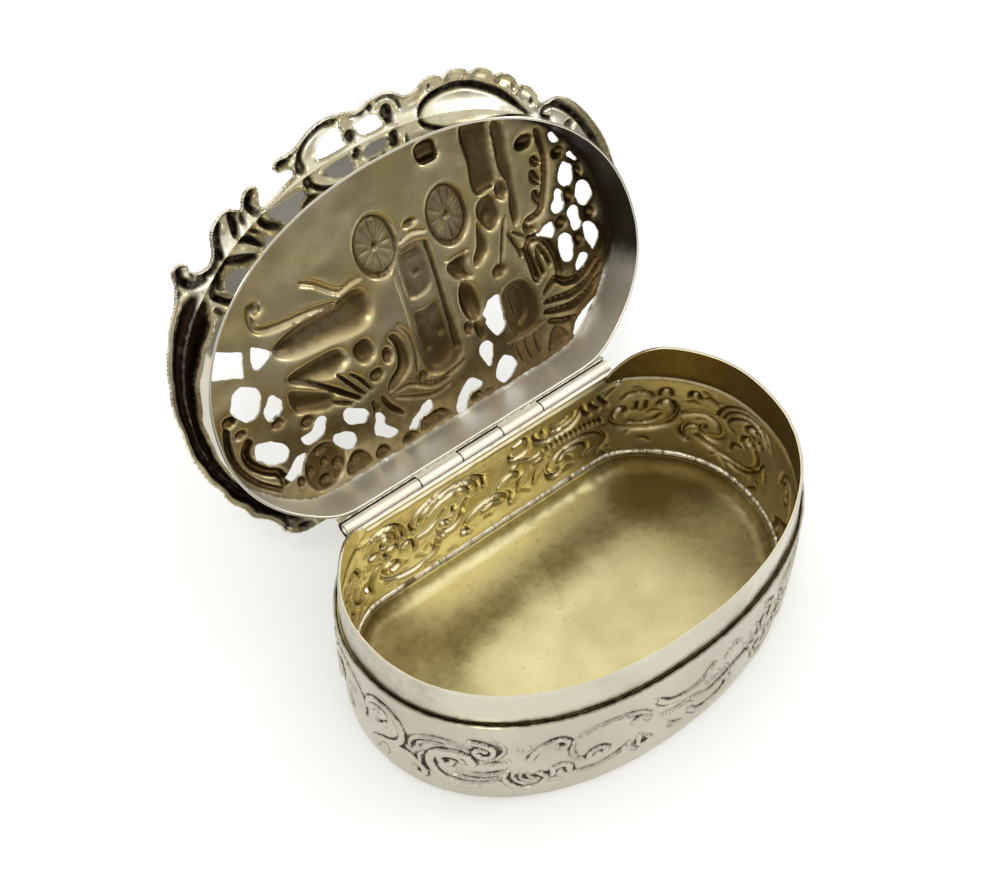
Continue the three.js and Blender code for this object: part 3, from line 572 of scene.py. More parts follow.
wallRight = [
    rib(1.2, 0.42, 55, 20, 57, 22, 60, 23.2, 63.5, 23.1, 66.5, 21.9, 68.5, 20, 69.3, 17.8),
    rib(1.1, 0.42, 56.5, 20, 59, 21.9, 62, 22.2, 65, 21.4, 67.2, 19.6, 68, 17.6),
    rib(1, 0.42, 59, 20.6, 61.5, 21.1, 64, 20.4, 66, 19, 67, 17.2),
    roll(1.4, 0.42, 59.5, 15.5, 58.3, 13.5, 58.7, 11, 60.5, 9.2, 63.5, 8.3, 67, 8.2, 70.5, 9, 72.8, 10.4),
    rib(1, 0.4, 55.3, 11, 56.6, 14.2, 57.6, 12, 59.5, 8.8, 62.5, 7.2, 66.5, 6.8),
    roll(1, 0.42, 60, 20, 61.5, 20.3, 62.6, 19.5, 62.3, 18.2, 61.2, 17.8, 60.6, 18.6),
    roll(1, 0.4, 60.5, 16.3, 61.8, 17, 63, 16.2, 63.2, 14.8, 62, 14.3),
    bead(0.4, 58.5, 17.9, 0.7, 0.7),
    rib(1, 0.35, 63.2, 13.4, 65, 12.6, 65.4, 11),
    roll(2, 0.44, 76, 15.5, 73.5, 16.6, 70.8, 16.7, 68.5, 15.4, 67.8, 13, 69, 11.2, 71, 11, 72.3, 12.3,
        71.5, 13.6),
    roll(1.4, 0.44, 73.3, 13, 74.8, 12.7, 75.9, 11.5, 76, 9.8, 74.8, 8.6),
    roll(1.5, 0.44, 81, 17.2, 80.5, 18.3, 79, 18.6, 77.7, 17.2, 77.5, 14.8, 79, 12.2, 81.8, 10.9, 85, 10.6,
        88, 11.2, 90, 12.8, 90.3, 15, 89.2, 16.6, 87.6, 16.4, 87.5, 15.2),
    rib(0.9, 0.35, 80.5, 14.5, 82, 12.8, 84.5, 12, 87, 12.3),
    rib(0.8, 0.36, 83.4, 15.8, 83.4, 18.2),
    rib(0.8, 0.36, 85.3, 15.8, 85.2, 18),
    rib(1, 0.36, 81.8, 19.2, 83, 20.3, 85, 20.8, 87, 20.4, 88.2, 19.3),
    rib(0.9, 0.36, 78.5, 20, 79, 21.5, 80.3, 21.7, 80.9, 20.5, 80.8, 19.4),
    roll(1, 0.4, 73, 20.6, 73.6, 21.9, 74.9, 21.8, 75.2, 20.6),
    rib(1, 0.36, 69.5, 20.8, 70.8, 21.6, 72, 21.2),
    rib(1.3, 0.42, 91.5, 18.7, 93, 20.8, 93.8, 22.4),
    rib(1.3, 0.42, 93.5, 18.6, 95.2, 20.4, 95.8, 22.2),
    rib(1.3, 0.42, 95.8, 18.5, 97, 20, 97.4, 22),
    roll(1.5, 0.44, 97.8, 22.8, 98.2, 20.6, 100.3, 18.9, 103.2, 18.4, 106, 18.9, 108.4, 20.5, 109.2, 22.8),
    rib(1, 0.4, 99.8, 22.6, 100.3, 21, 102.3, 20.2, 104.8, 20.6),
    rib(1, 0.4, 101.8, 22.5, 103, 21.6, 104.6, 22),
    rib(0.9, 0.4, 106.8, 21, 107.3, 22.8),
    roll(1.2, 0.42, 113.8, 23.4, 111.5, 23.4, 110.3, 21.8, 110.8, 20, 112.6, 19.4, 114.5, 20, 114.9, 21.5),
    roll(1.6, 0.44, 93.8, 6.6, 92.2, 7.6, 91.8, 9.6, 93.5, 11.8, 96.8, 13.3, 100.5, 13.7, 103.8, 12.6,
        105.6, 10.4, 105.4, 8.2, 103.8, 7.2, 102.8, 8),
    roll(1.2, 0.42, 97.3, 8.3, 96.3, 9, 96.6, 10.6, 98.6, 11.9, 101.3, 11.9, 103, 11),
    rib(1.3, 0.4, 106.5, 13.8, 108.5, 11.8, 109, 9.5),
    rib(1.3, 0.4, 110, 14, 112, 12, 112.8, 10),
    roll(1.2, 0.42, 113, 12, 112.3, 14, 113.8, 15.6, 116, 15.6, 117.5, 14.2),
    rib(1.2, 0.38, 107, 17, 109.5, 16.5, 112, 17.6, 114.5, 17.2),
    rib(1, 0.36, 106, 15, 109, 14.8),
]
for k in range(12):  # a row of short ribs, higher and steeper to the right
    climb = 1 - math.exp(-k / 4)
    wallRight.append(rib(0.85, 0.4, 92.6 + 1.15 * k, 14.2 + 1.7 * climb, 93.6 + 1.15 * k, 16.1 + 1.5 * climb))

wallBack = [
    roll(1.7, 0.44, -123.9, 8, -123.7, 10, -121.7, 11.9, -118.9, 12.6, -116.1, 12.2, -113.5, 10.4,
        -112.9, 8.4, -114.1, 7.2),
    rib(1, 0.38, -121.7, 9.8, -119.7, 10.9, -117.2, 10.6),
    rib(1.3, 0.44, -117.8, 17.6, -117.3, 20.2, -115, 22.3, -111, 23.3, -106.5, 23.2, -103, 22, -101.2, 19.6,
        -101.8, 17.2),
    rib(1.1, 0.44, -116.4, 18, -115.8, 20.2, -113.4, 21.8, -110, 22.3, -106.5, 22, -103.8, 20.5,
        -102.9, 18.4),
    rib(1.1, 0.42, -114.6, 18.6, -113.5, 20.4, -110.8, 21.1, -107.5, 20.7, -105, 19),
    roll(1.6, 0.44, -113.8, 17, -112.6, 15, -112.4, 12.8, -110.6, 11.3, -108.4, 11.6, -107.4, 13.2,
        -108.4, 14.4, -109.6, 13.6),
    rib(1, 0.4, -110.5, 17.5, -110.8, 15.5, -109.6, 14.5),
    rib(1.5, 0.4, -108.5, 18, -107, 16.2, -104.8, 15, -102.5, 15),
    roll(1.5, 0.44, -108.4, 10.6, -107, 11.4, -105.9, 10.2, -106.4, 8.6, -104.5, 7, -101, 6.5, -97.5, 7.2,
        -95.2, 8.8, -94.5, 10.8, -95.6, 12.2, -97.4, 12, -98.2, 10.6, -97, 9.9),
    rib(1.3, 0.44, -99.6, 17.2, -99.5, 19.8, -98, 22.2, -95.2, 23.2, -92.6, 22.6),
    rib(1.1, 0.42, -98.2, 17.4, -97.9, 19.6, -96.4, 21.2, -94.2, 21.6),
    roll(1, 0.42, -96.9, 18.6, -96.4, 20, -95, 19.6, -94.8, 18.2, -96, 17.6),
    bead(0.4, -92.8, 17.5, 1.3, 0.8),
    roll(1.1, 0.4, -98.6, 14.9, -98, 16.4, -96.4, 16.7, -95.4, 15.6, -96, 14.4),
    roll(1.1, 0.4, -101.8, 12.3, -101.6, 14.5, -100.2, 15.3, -99.2, 14.3),
    bead(0.44, -90.7, 10.2, 0.9, 1),
    rib(1.1, 0.4, -91.6, 7.6, -91.4, 11, -92.6, 13, -94, 14),
    rib(1.2, 0.4, -88.6, 16.4, -86.8, 19.4, -83.5, 21),
    rib(1.2, 0.4, -88, 8, -86, 11, -85.6, 14.6, -86.8, 17),
    rib(1.1, 0.38, -85, 8.6, -83.6, 11, -83.4, 14),
]

# small punched hollows and gashes between the scrolls of the outside, and domes inside
pits = [
    (-57.5, 18), (-57.5, 15), (-44.3, 13.2), (-41, 10.1), (-38.8, 17.5), (-37.6, 16.8), (-25.2, 17.8),
    (-27, 14.2), (-10, 16.5), (-8.8, 15.3), (-21.8, 12.3), (-29.5, 6.5), (-8.8, 8),
]
wallPits = [cut(1.3, 0.34, u - 0.45, v - 0.1, u + 0.45, v + 0.1) for u, v in pits] + [
    cut(width, 0.34, *places) for width, *places in [
        (1.3, -50.6, 12.9, -49.4, 14.1), (1.2, -23, 19, -20.5, 20), (1.2, -8.2, 18.6, -7.4, 19.4),
        (1.2, 14.6, 16.5, 15.4, 14.3, 17, 12.7), (1.0, 16.6, 17, 17.8, 13.8), (1.0, 13.5, 14, 15, 12),
        (1.3, 16.6, 11, 18, 8), (1.1, 15, 9.5, 16.5, 7.2), (1.0, 9.2, 19.6, 10.1, 17.9),
        (0.9, 11, 20.4, 11.9, 17.9), (0.9, 16.3, 21, 16.8, 19), (1.1, 6.8, 17, 8.6, 18.3),
        (1.0, 6, 9.1, 8, 10), (1.0, 0, 15, 2.8, 16, 4.6, 18.4), (1.0, 24, 19.5, 25.5, 17.2),
        (1.2, 30, 16.5, 31.4, 14.6), (1.2, 35.5, 12.6, 37, 13.4), (1.2, 41.5, 15.5, 42.5, 13.6),
    ]
]
domes = [(58.5, 18), (61, 16.5), (-106.5, 10), (-113, 8), (-90.5, 10), (-97, 10.5)]
innerPits = [bead(0.5, u, v, 0.9, 0.8) for u, v in domes]

# light strokes of the chaser's tool, spread at random over the right and the back
wallStrokes = []
strokes = np.random.default_rng(7)
for left, right, high, count in ((58, 112, 22.5, 46), (-123, -84, 23, 40)):
    us, vs = strokes.uniform(left, right, count), strokes.uniform(4.8, high, count)
    for u, v, lean in zip(us, vs, strokes.uniform(-1.2, 1.2, count)):
        wallStrokes.append(rib(0.9, 0.15, u - 1.1, v - 0.9 * lean, u, v + 0.35, u + 1.1, v + 0.9 * lean))


def startingIn(marks, left, right):
    # the marks whose first place lies between two lengths
    return [each for each in marks if left < each[3][0, 0] < right]


wallMarks = (
    wallFront + wallPits + wallRight + wallBack + innerPits + wallStrokes
    + shifted(startingIn(wallFront, -61, -33), -10, -1) + shifted(startingIn(wallRight, 77, 91), -160)
)


def wallRelief(lengths, heights, pressed=False):
    # marks that run past the seam at the middle of the back show on its other side too
    u, v = np.meshgrid(lengths, heights)
    beyond = np.maximum(carve(u - girth, v, wallBack, pressed), carve(u + girth, v, wallRight, pressed))
    return np.maximum(carve(u, v, wallMarks, pressed), beyond).T


def atHeights(field, z):
    # a field known on even heights from 0 to lipHeight, read along each column at heights z
    place = np.clip(z / lipHeight * (field.shape[1] - 1), 0, field.shape[1] - 1.001)
    low = np.floor(place).astype(int)
    share = place - low
    return np.take_along_axis(field, low, 1) * (1 - share) + np.take_along_axis(field, low + 1, 1) * share


def innerFace(pressed, z, top):
    # wallFace - sheet - skinGap - swell + depth * marks, the last two fading in above the bead and out
    # below top
    fade = smooth((z - wall["bead"]) / 1.6) * smooth((top - z) / 0.9)
    return wallFace(z) - wall["sheet"] - wall["skinGap"] + (wall["depth"] * pressed - wall["swell"]) * fade


def pressThrough(lengths, around):
    # the marks as the inside shows them, with hammered ground between them, and how dark each place is, with
    # tarnish and painted shade in the recesses
    even = np.linspace(0, lipHeight, wall["levels"])
    marks = blurred(wallRelief(lengths, even, True).T, 0.8, around).T
    u, v = np.meshgrid(lengths + 300, even, indexing="ij")
    ground = 0.025 * lumps(u, v, 2.2, 51) + 0.01 * lumps(u, v, 0.9, 52)
    dark = np.clip((marks - blurred(marks.T, 2.6, around).T) * 6, 0, 1)
    return marks + ground, dark


def paintedShadeToRight(x):
    # painted shade: the gilt inside is darker towards the right end
    return wall["rightShade"] * smooth((x - 6) / 24)


def addWall():
    # outside skin: wallFace + gain * relief - groove * grooves, the last two ending at the lip, with its
    # back at skinSplit behind it. Inside skin: innerFace, with its back just behind that of the outside.
    lengths = (np.arange(wall["stations"]) / wall["stations"] - 0.5) * girth
    turns = turnAt(lengths)
    isNotch = ((np.sin(turns) > 0) & (np.abs(planLine(turns)[:, 0]) < wall["notchHalf"]))[:, None]
    even = np.linspace(0, 1, wall["levels"]) * lipHeight
    bearerFoot = wall["bearerFoot"]
    z = np.where(isNotch, np.minimum(even, bearerFoot + (even - bearerFoot) * squeezed), even)
    relief = wallRelief(lengths, even)
    softened = blurred(relief.T, 2.2, around=True).T
    relief, softened = atHeights(relief, z), atHeights(softened, z)
    grooves = np.clip(softened - relief, 0, 0.16)

    # silver outside skin, dark in its grooves with tarnish and painted shade
    base = wallFace(z)
    outward = base + (wall["gain"] * relief - grooves * wall["groove"]) * smooth((z[:, -1:] - z) / 0.6)
    outline = grooves * (8.5 + 4 * lumps(lengths[:, None] + 300, z, 3.0, 53))
    # painted shade along the very top of the lip, where the ledge meets the bezel
    outline = outline + 0.2 * smooth((z - lipHeight + 0.1) / 0.1)
    split = base - wall["skinSplit"] - 0.3 * smooth((z - lipHeight + 1.2) / 1.1)
    back = slice(None, None, -12)  # every twelfth row is enough where nothing shows
    points = hoopPoints(turns, np.hstack([outward, split[:, back]]), np.hstack([z, z[:, back]]))
    # the back rows' darkness shades the top of the ledge towards the bezel: painted shade
    tarnishAndShade = np.hstack([np.clip(outline, 0, 1), np.full(base[:, back].shape, 0.7)])
    addPiece("body_wall_outside", "body", ["body_wall"], points.reshape(-1, 3), hoopFaces(points),
             [silverWall], tarnishAndShade=tarnishAndShade.ravel())

    # gilt inside skin, where the same marks are pressed outward and broader
    pressed, dark = pressThrough(lengths, True)
    # tarnish and painted shade in the recesses, and painted shade towards the right end
    tarnishAndShade = np.clip(atHeights(dark, z) + paintedShadeToRight(planLine(turns)[:, :1]), 0, 1)
    face = innerFace(atHeights(pressed, z), z, np.where(isNotch, wall["lipFade"], wall["innerTop"]))
    front = slice(None, None, 12)
    outward = np.hstack([split[:, front] - 0.04, face[:, ::-1]])
    points = hoopPoints(turns, outward, np.hstack([z[:, front], z[:, ::-1]]))
    tarnishAndShade = np.hstack([np.zeros(base[:, front].shape), tarnishAndShade[:, ::-1]])
    addPiece("body_wall_inside", "body", ["body_wall"], points.reshape(-1, 3), hoopFaces(points),
             [gilt], tarnishAndShade=tarnishAndShade.ravel())


addWall()

# Bezel: the plain strip inside the lip, cut away behind the hinge with a curved shoulder on each side
bezel = {
    "sheet": 0.5, "tail": 1.0, "ease": 0.12, "stations": 560, "levels": 14,
    "endHalf": 27.3, "lapHalf": 30.3, "lapTail": 0.8,  # its ends, and where they lap over the bearer's
    "shoulderStart": 26.7, "shoulderRun": 10.0,
}


def addBezel():
    # outside: leans in by bezelFoot * share of the height over the lip, and follows the wall below that.
    # Top at the back: lip + rise * sin(pi/2 * (|x| - shoulderStart) / shoulderRun), with a rolled rim.
    backHalf = np.arccos((bezel["endHalf"] / halfLength) ** (plan["backRound"] / 2))
    turns = np.linspace(backHalf - 2 * np.pi + (np.pi - 2 * backHalf), backHalf, bezel["stations"])
    x = planLine(turns)[:, :1]
    reach = np.abs(x[:, 0])
    climb = np.sin(np.pi / 2 * np.clip((reach - bezel["shoulderStart"]) / bezel["shoulderRun"], 0, 1))
    isBack = np.sin(turns) > 0
    top = np.where(isBack, lipHeight + (bezelTop - lipHeight) * climb, bezelTop)
    isLapped = isBack & (reach < bezel["lapHalf"])
    bottom = np.where(isLapped, lipHeight - bezel["lapTail"], lipHeight - bezel["tail"])[:, None]
    ease, levels = bezel["ease"], bezel["levels"]
    z = bottom + (top[:, None] - ease - bottom) * np.linspace(0, 1, levels)[None]
    lean = plan["bezelFoot"] * (1 - np.clip((z - lipHeight) / (bezelTop - lipHeight), 0, 1))
    waver = 0.03 * lumps(turns[:, None] * 18 + 50, z / 3, 1.0, 4)
    outside = np.minimum(lean, wallFace(np.minimum(z, lipHeight)) - wall["sheet"] - plan["gap"]) + waver
    thin = smooth((z - bottom) / 1.1)
    inside = outside - bezel["sheet"] * (0.12 + 0.88 * np.where(isLapped[:, None], 1, thin))
    rim = np.array([[0.0, 0.6], [-0.10, 0.92], [-0.25, 1.0], [-0.40, 0.92], [-0.5, 0.6]])
    outward = np.hstack([outside, outside[:, -1:] + rim[None, :, 0], inside[:, ::-1]])
    height = np.hstack([z, z[:, -1:] + ease * rim[None, :, 1], z[:, ::-1]])
    points = hoopPoints(turns, outward, height)

    # painted shade at the foot, where it meets the lip, and towards the two ends, inside towards the right
    # and outside towards the left; silver outside and over the rim, gilt inside
    rows, cols = outward.shape
    column = np.arange(cols)
    isOuter, isInner = column < levels + 2, column > levels + 4
    dark = smooth((lipHeight + 0.14 - height) / 0.12) * isOuter
    dark = dark * (0.75 + 0.5 * lumps(turns[:, None] * 60 + 90, height, 1.0, 8))
    dark = dark + 0.92 * smooth((x - 4) / 22) * isInner + 0.3 * smooth((-34 - x) / 8) * isOuter
    finish = np.concatenate([np.tile(column > levels + 2, rows - 1), [0, 0]])
    addPiece("bezel_strip", "body", ["bezel"], points.reshape(-1, 3), barFaces(rows, cols),
             [silverBezel, gilt], finish=finish, tarnishAndShade=np.clip(dark, 0, 1).ravel())


addBezel()

# Base pan, whose flat inside is the floor, and the bead of solder on its rim
floor = {
    "sheet": 0.7, "cove": 3.0, "coveSteps": 16, "rings": 60, "stations": 420, "waves": 0.05, "dents": 0.16,
    "bead": 0.42, "beadStations": 1800,
}


def addFloor():
    # section: out along the underside, up beside the wall, over the rim, and down a quarter ellipse,
    # (edge - cove (1 - cos a), rim - (rim - floor) sin a), to the flat floor
    turns = turnAt((np.arange(floor["stations"]) / floor["stations"] - 0.5) * girth)
    level, rim = baseLow[2] + floor["sheet"], baseHigh[2]
    up = np.array([0.0, 0.06, 0.2, 0.5, 1.0, 1.7, 2.5, rim - 0.2])
    beside = wallFace(up) - wall["sheet"] - plan["gap"] - np.array([0.12, 0.03] + [0.0] * 6)
    edge = wallFace(rim) - wall["sheet"] - plan["gap"]
    angle = np.linspace(0.08, np.pi / 2, floor["coveSteps"])
    over = edge - np.array([0.06, 0.35, 0.64])
    down = edge - floor["sheet"] - floor["cove"] * (1 - np.cos(angle))
    outward = np.concatenate([beside, over, down])
    height = np.concatenate([up, rim + np.array([-0.05, 0.0, -0.05]), rim - (rim - level) * np.sin(angle)])
    outward = np.broadcast_to(outward, (len(turns), len(outward)))
    sides = hoopPoints(turns, outward, height).transpose(1, 0, 2)
    cove = sides[-floor["coveSteps"]:]
    bend = np.sin(2 * angle)[:, None] * floor["dents"]
    x, y = cove[..., 0] + 99, cove[..., 1] + 99
    cove[..., 2] += bend * (lumps(x, y, 3.2, 44) + 0.6 * lumps(x, y, 1.5, 45))
    shares = np.linspace(1, 0, floor["rings"])[1:-1, None, None] ** 0.8
    flat = sides[-1][None] * shares
    waves = floor["waves"] * lumps(flat[..., 0] + 99, flat[..., 1] + 99, 9.0, 3)
    flat[..., 2] = level + waves * smooth((1 - shares[..., 0]) / 0.1)
    under = sides[0][None] * np.array([0.2, 0.45, 0.7, 0.9])[:, None, None]
    rows = np.concatenate([under, sides, flat])
    count = len(turns)
    points = np.vstack([rows.reshape(-1, 3), [[0, 0, baseLow[2]], [0, 0, level]]])
    ring = np.arange(count)
    nextRing = (ring + 1) % count
    start, last = (len(rows) - 1) * count, len(points) - 1
    bottomFan = np.stack([nextRing, ring, np.full(count, last - 1)], 1)
    topFan = np.stack([start + ring, start + nextRing, np.full(count, last)], 1)
    faces = [*gridFaces(len(rows), count, wrapCols=True)[:, ::-1], *bottomFan, *topFan]

    # darker and duller in a band along the back, towards the right end and at the left, with painted shade up
    # the cove beside the solder
    x, y = points[:, 0], points[:, 1]
    cloud = 0.5 * lumps(x + 300, y + 300, 9.0, 41) + 0.35 * lumps(x + 300, y + 300, 3.5, 42)
    band = np.exp(-((y - 9.5 - 0.05 * x + 1.5 * cloud) / 6.5) ** 2)
    right = smooth((x - 19 - 5 * cloud) / 12) * (0.5 + 0.26 * smooth((y + 4) / 9))
    # painted shade up the cove, where the floor meets the wall beside the solder
    beside = smooth((points[:, 2] - level - 0.1) / 0.6) * (0.6 + 0.3 * lumps(x + 300, y + 300, 1.1, 43))
    left = smooth((-16 - x) / 12) * smooth((y + 16) / 8)
    dullAndShade = 0.68 * band * (1 - 0.5 * right) + 0.9 * right + 0.6 * left * (1 - band)
    dullAndShade = dullAndShade + 0.16 * cloud + 0.4 * beside
    addPiece("floor_pan", "body", ["base_plate"], points, faces, [giltFloor],
             tarnishAndShade=np.clip(dullAndShade, 0, 1))


def addSolder():
    # section: a quarter oval, width * (cos a, 1.5 sin a), against the wall. Its width wanders by up to
    # 0.35 of itself, and two sizes of grain are added to its face.
    count = floor["beadStations"]
    turns = turnAt(np.linspace(-0.5, 0.5, count, endpoint=False) * girth)

    def alongBead(spacing, row, seed):
        return lumps(np.arange(count) / spacing, turns * 0 + row, 1.0, seed)

    wander = alongBead(5, 3, 5) * 0.6 + alongBead(19, 8, 6) * 0.4
    width = (floor["bead"] * (1.0 + 0.35 * wander))[:, None]
    sweep = np.linspace(0, np.pi / 2, 6)[None]
    low = baseHigh[2] + 0.15
    wallSide = wallFace(low + 0.6) - wall["sheet"] - 0.12
    outward = np.hstack([wallSide - width * np.cos(sweep), np.full((count, 1), wallSide)])[:, ::-1]
    height = np.hstack([low + width * np.sin(sweep) * 1.5, np.full((count, 1), low)])[:, ::-1]
    points = hoopPoints(turns, outward, height)
    face = points[:, 1:-1]
    for size, tall in ((0.25, 0.07), (0.11, 0.06)):
        grain = lumps(face[..., 0] + 300, face[..., 1] + face[..., 2] * 0.7 + 300, size * 2, 7)
        face += tall * grain[..., None]
    dirtAndShade = 0.22 + 0.3 * alongBead(2.5, 1, 9) + 0.25 * alongBead(30, 1, 10)
    addPiece("solder_bead", "body", ["floor_solder"], points.reshape(-1, 3), hoopFaces(points),
             [solder], tarnishAndShade=np.repeat(np.clip(dirtAndShade, 0, 1), outward.shape[1]))


addFloor()
addSolder()

# Hinge: knuckles, pin and the two bearers with the groove that the knuckles lie in
hinge = {
    "bore": 0.85, "pin": 0.55, "ease": 0.06, "around": 72,
    "seat": 1.45, "wall": 0.5, "axisDrop": 0.45,  # groove's radius, metal behind it, axis below the lip
    "foot": 2.1, "stop": 60.25, "footAngle": 100.0,  # axis to foot, stop face and start of the round back
    "grooveSteps": 20, "backSteps": 10,
    "cove": 0.1, "lidBack": 0.03,  # the body's bearer below the lip, and the lid's behind the band
}


def circle(radius, angles):
    return radius * np.stack([np.cos(angles), np.sin(angles)], -1)


def alongX(profiles, xs):
    # profiles[i] is the closed section [y, z] about the hinge axis at xs[i]
    xs = np.broadcast_to(np.array(xs)[:, None, None], profiles.shape[:2] + (1,))
    return np.concatenate([xs, profiles + hingeAxis[1:]], -1).reshape(-1, 3)


def addKnuckle(name, body, node):
    # a tube, as rings of one radius each: eased ends, round side and bore. The lid's has a fillet of
    # solder, 0.27 * exp(-((angle - 30) / 11)^2), that ties it to the band.
    low, high = (corner[0] for corner in boxOf(node))
    angles = np.linspace(0, 2 * np.pi, hinge["around"], endpoint=False)
    ease, outer, bore = hinge["ease"], plan["knuckle"], hinge["bore"]
    start = [(low, bore + ease), (low, outer - ease * 1.2), (low + 0.02, outer - ease * 0.4)]
    side = [(x, outer) for x in [low + ease, *np.linspace(low + ease, high - ease, 24)[1:-1], high - ease]]
    end = [(high - 0.02, outer - ease * 0.4), (high, outer - ease * 1.2), (high, bore + ease)]
    rings = np.array(start + side + end + [(high - ease, bore), (low + ease, bore)])
    x = rings[:, 0]
    radius = rings[:, 1:] + 0.006 * lumps(x[:, None] + 60, angles[None] * 3, 1.3, 12)
    if body == "lid":
        fillet = np.exp(-((np.degrees(angles) - 30) / 11) ** 2)
        radius = radius + 0.27 * fillet[None] * (radius > outer - 0.1)
    section = np.stack([radius * np.cos(angles), radius * np.sin(angles)], -1)
    # painted shade on the eased ends, in the gaps between the knuckles
    isEnd = np.isin(np.arange(len(x)), [0, 1, len(x) - 4, len(x) - 3])
    faces = gridFaces(len(x), len(angles), wrapRows=True, wrapCols=True)[:, ::-1]
    addPiece(name, body, [node], alongX(section, x), faces, [silverTube],
             tarnishAndShade=np.repeat(isEnd.astype(float), len(angles)) * 0.7)


def addPin():
    # a rod with its ends eased to 0.8 of its radius
    low, high = (corner[0] for corner in boxOf("hinge_pin"))
    angles = np.linspace(0, 2 * np.pi, 32, endpoint=False)
    x = np.array([low, low + 0.1, high - 0.1, high])
    radius = hinge["pin"] * np.array([0.8, 1, 1, 0.8])
    points = alongX(radius[:, None, None] * circle(1, angles)[None], x)
    addPiece("pin_rod", "body", ["hinge_pin"], points, barFaces(len(x), len(angles), -1),
             [silverTube])


def bearerArcs(top):
    # the groove's arc up to height top, and the foot's corner with the arc of the round back
    topAngle = 180 + math.degrees(math.asin(top / hinge["seat"]))
    groove = np.radians(np.linspace(-hinge["stop"], -topAngle, hinge["grooveSteps"]))
    back = np.radians(np.linspace(-hinge["footAngle"], -hinge["stop"], hinge["backSteps"]))
    outer = hinge["seat"] + hinge["wall"]
    return circle(hinge["seat"], groove), np.vstack([[[-outer / 2, -hinge["foot"]]], circle(outer, back)])


def addBodyBearer():
    # section: groove arc under the knuckles, thin bright edge, gilt face that carries the wall's marks
    # down to the foot, and the round outer back
    low, high = (corner[0] for corner in boxOf("body_hinge_bearer"))
    x = np.linspace(low, high, 420)
    beside = np.linspace(70, girth - 70, 3000)  # lengths that take in the whole straight back
    xBeside = planLine(turnAt(np.where(beside > girth / 2, beside - girth, beside)))[:, 0]
    pressed, dark = pressThrough(np.interp(x, xBeside[::-1], beside[::-1]), False)
    levels = 16
    z = np.linspace(lipHeight - 0.08, hingeAxis[2] - hinge["foot"], levels)[None] + np.zeros((len(x), 1))
    face = backFlat + innerFace(atHeights(pressed, z), z, wall["lipFade"])
    face = face + hinge["cove"] * smooth((z - 25.2) / 0.6)
    top = hinge["axisDrop"]
    groove, back = bearerArcs(top)
    edge = np.array([[face[0, 0] - hingeAxis[1] + 0.1, top]])
    parts = [np.broadcast_to(part, (len(x),) + part.shape) for part in (groove, edge, back)]
    parts.insert(2, np.stack([face - hingeAxis[1], z - hingeAxis[2]], -1))
    profiles = np.concatenate(parts, 1)
    first = len(groove) + 1  # first column of the gilt face
    waver = lumps(x[:, None] * 1.5 + 80, np.arange(2)[None] * 1.0, 1.0, 15)
    profiles[:, first - 2:first, 1] += 0.03 * waver - 0.03
    rows, cols = profiles.shape[:2]
    column = np.arange(cols)
    dirtAndShade = np.zeros((rows, cols))
    # painted shadow of the knuckles over the groove
    dirtAndShade[:, :first - 2] = 0.9
    # painted shade under the lip, tarnish and painted shade in the marks, and painted shade towards the right
    # end
    underLip = 0.2 * smooth((z - 24.6) / 0.8)
    dark = atHeights(dark, z) + paintedShadeToRight(x[:, None]) + underLip
    dirtAndShade[:, first:first + levels] = np.clip(dark, 0, 1)
    isGilt = (column >= first - 1) & (column < first + levels)
    addPiece("bearer_body", "body", ["body_hinge_bearer"], alongX(profiles, x),
             barFaces(rows, cols, -1), [silverTube, gilt],
             finish=np.concatenate([np.tile(isGilt, rows - 1), [0, 0]]), tarnishAndShade=dirtAndShade.ravel())


def addLidBearer():
    # section: groove arc over the knuckles, flat top, inner face, foot and round outer back, turned over
    # and swung open with the lid
    low, high = (corner[0] for corner in boxOf("lid_hinge_bearer"))
    inner = backFlat + plan["bandOutside"] + hinge["lidBack"] - hingeAxis[1]
    top = -hinge["axisDrop"] - plan["gap"]
    corner = 0.07
    groove, back = bearerArcs(top)
    face = [[inner + corner, top], [inner, top - corner], [inner, -hinge["foot"]]]
    section = np.vstack([groove, face, back])
    x = np.linspace(low, high, 160)
    cosine, sine = math.cos(math.radians(lidOpen)), math.sin(math.radians(lidOpen))
    y, z = section[:, 0], -section[:, 1]
    section = np.stack([cosine * y + sine * z, -sine * y + cosine * z], -1)
    profiles = np.broadcast_to(section, (len(x),) + section.shape).copy()
    edge = slice(len(groove) - 1, len(groove) + 2)
    row = np.arange(3)[None] * 1.0
    profiles[:, edge, 1] += 0.05 * lumps(x[:, None] * 2 + 80, row, 1.0, 15)
    dirtAndShade = np.zeros(profiles.shape[:2])
    # painted shadow of the knuckles in the groove; the edge beside it is mottled darker
    dirtAndShade[:, :edge.start] = 0.85
    dirtAndShade[:, edge] = 0.3 + 0.3 * lumps(x[:, None] * 3 + 44, row, 1.0, 16)
    addPiece("bearer_lid", "lid", ["lid_hinge_bearer"], alongX(profiles, x),
             barFaces(*dirtAndShade.shape), [tonedBand], tarnishAndShade=np.clip(dirtAndShade, 0, 1).ravel())


for side in ("left", "middle", "right"):
    addKnuckle("knuckle_body_" + side, "body", "body_knuckle_" + side)
for side in ("left", "right"):
    addKnuckle("knuckle_lid_" + side, "lid", "lid_knuckle_" + side)
addPin()
addBodyBearer()
addLidBearer()

# Lid band: mirror-bright outside, toned inside, with a rough line of solder where it meets the sheet
band = {
    "headroom": 1.2, "bottomGap": 0.3, "notch": 0.78,  # notch: its lower edge over the hinge axis
    "lap": 0.05, "ease": 0.1, "stations": 720, "levels": 16,
}
sheetBottom = bezelTop + band["headroom"]


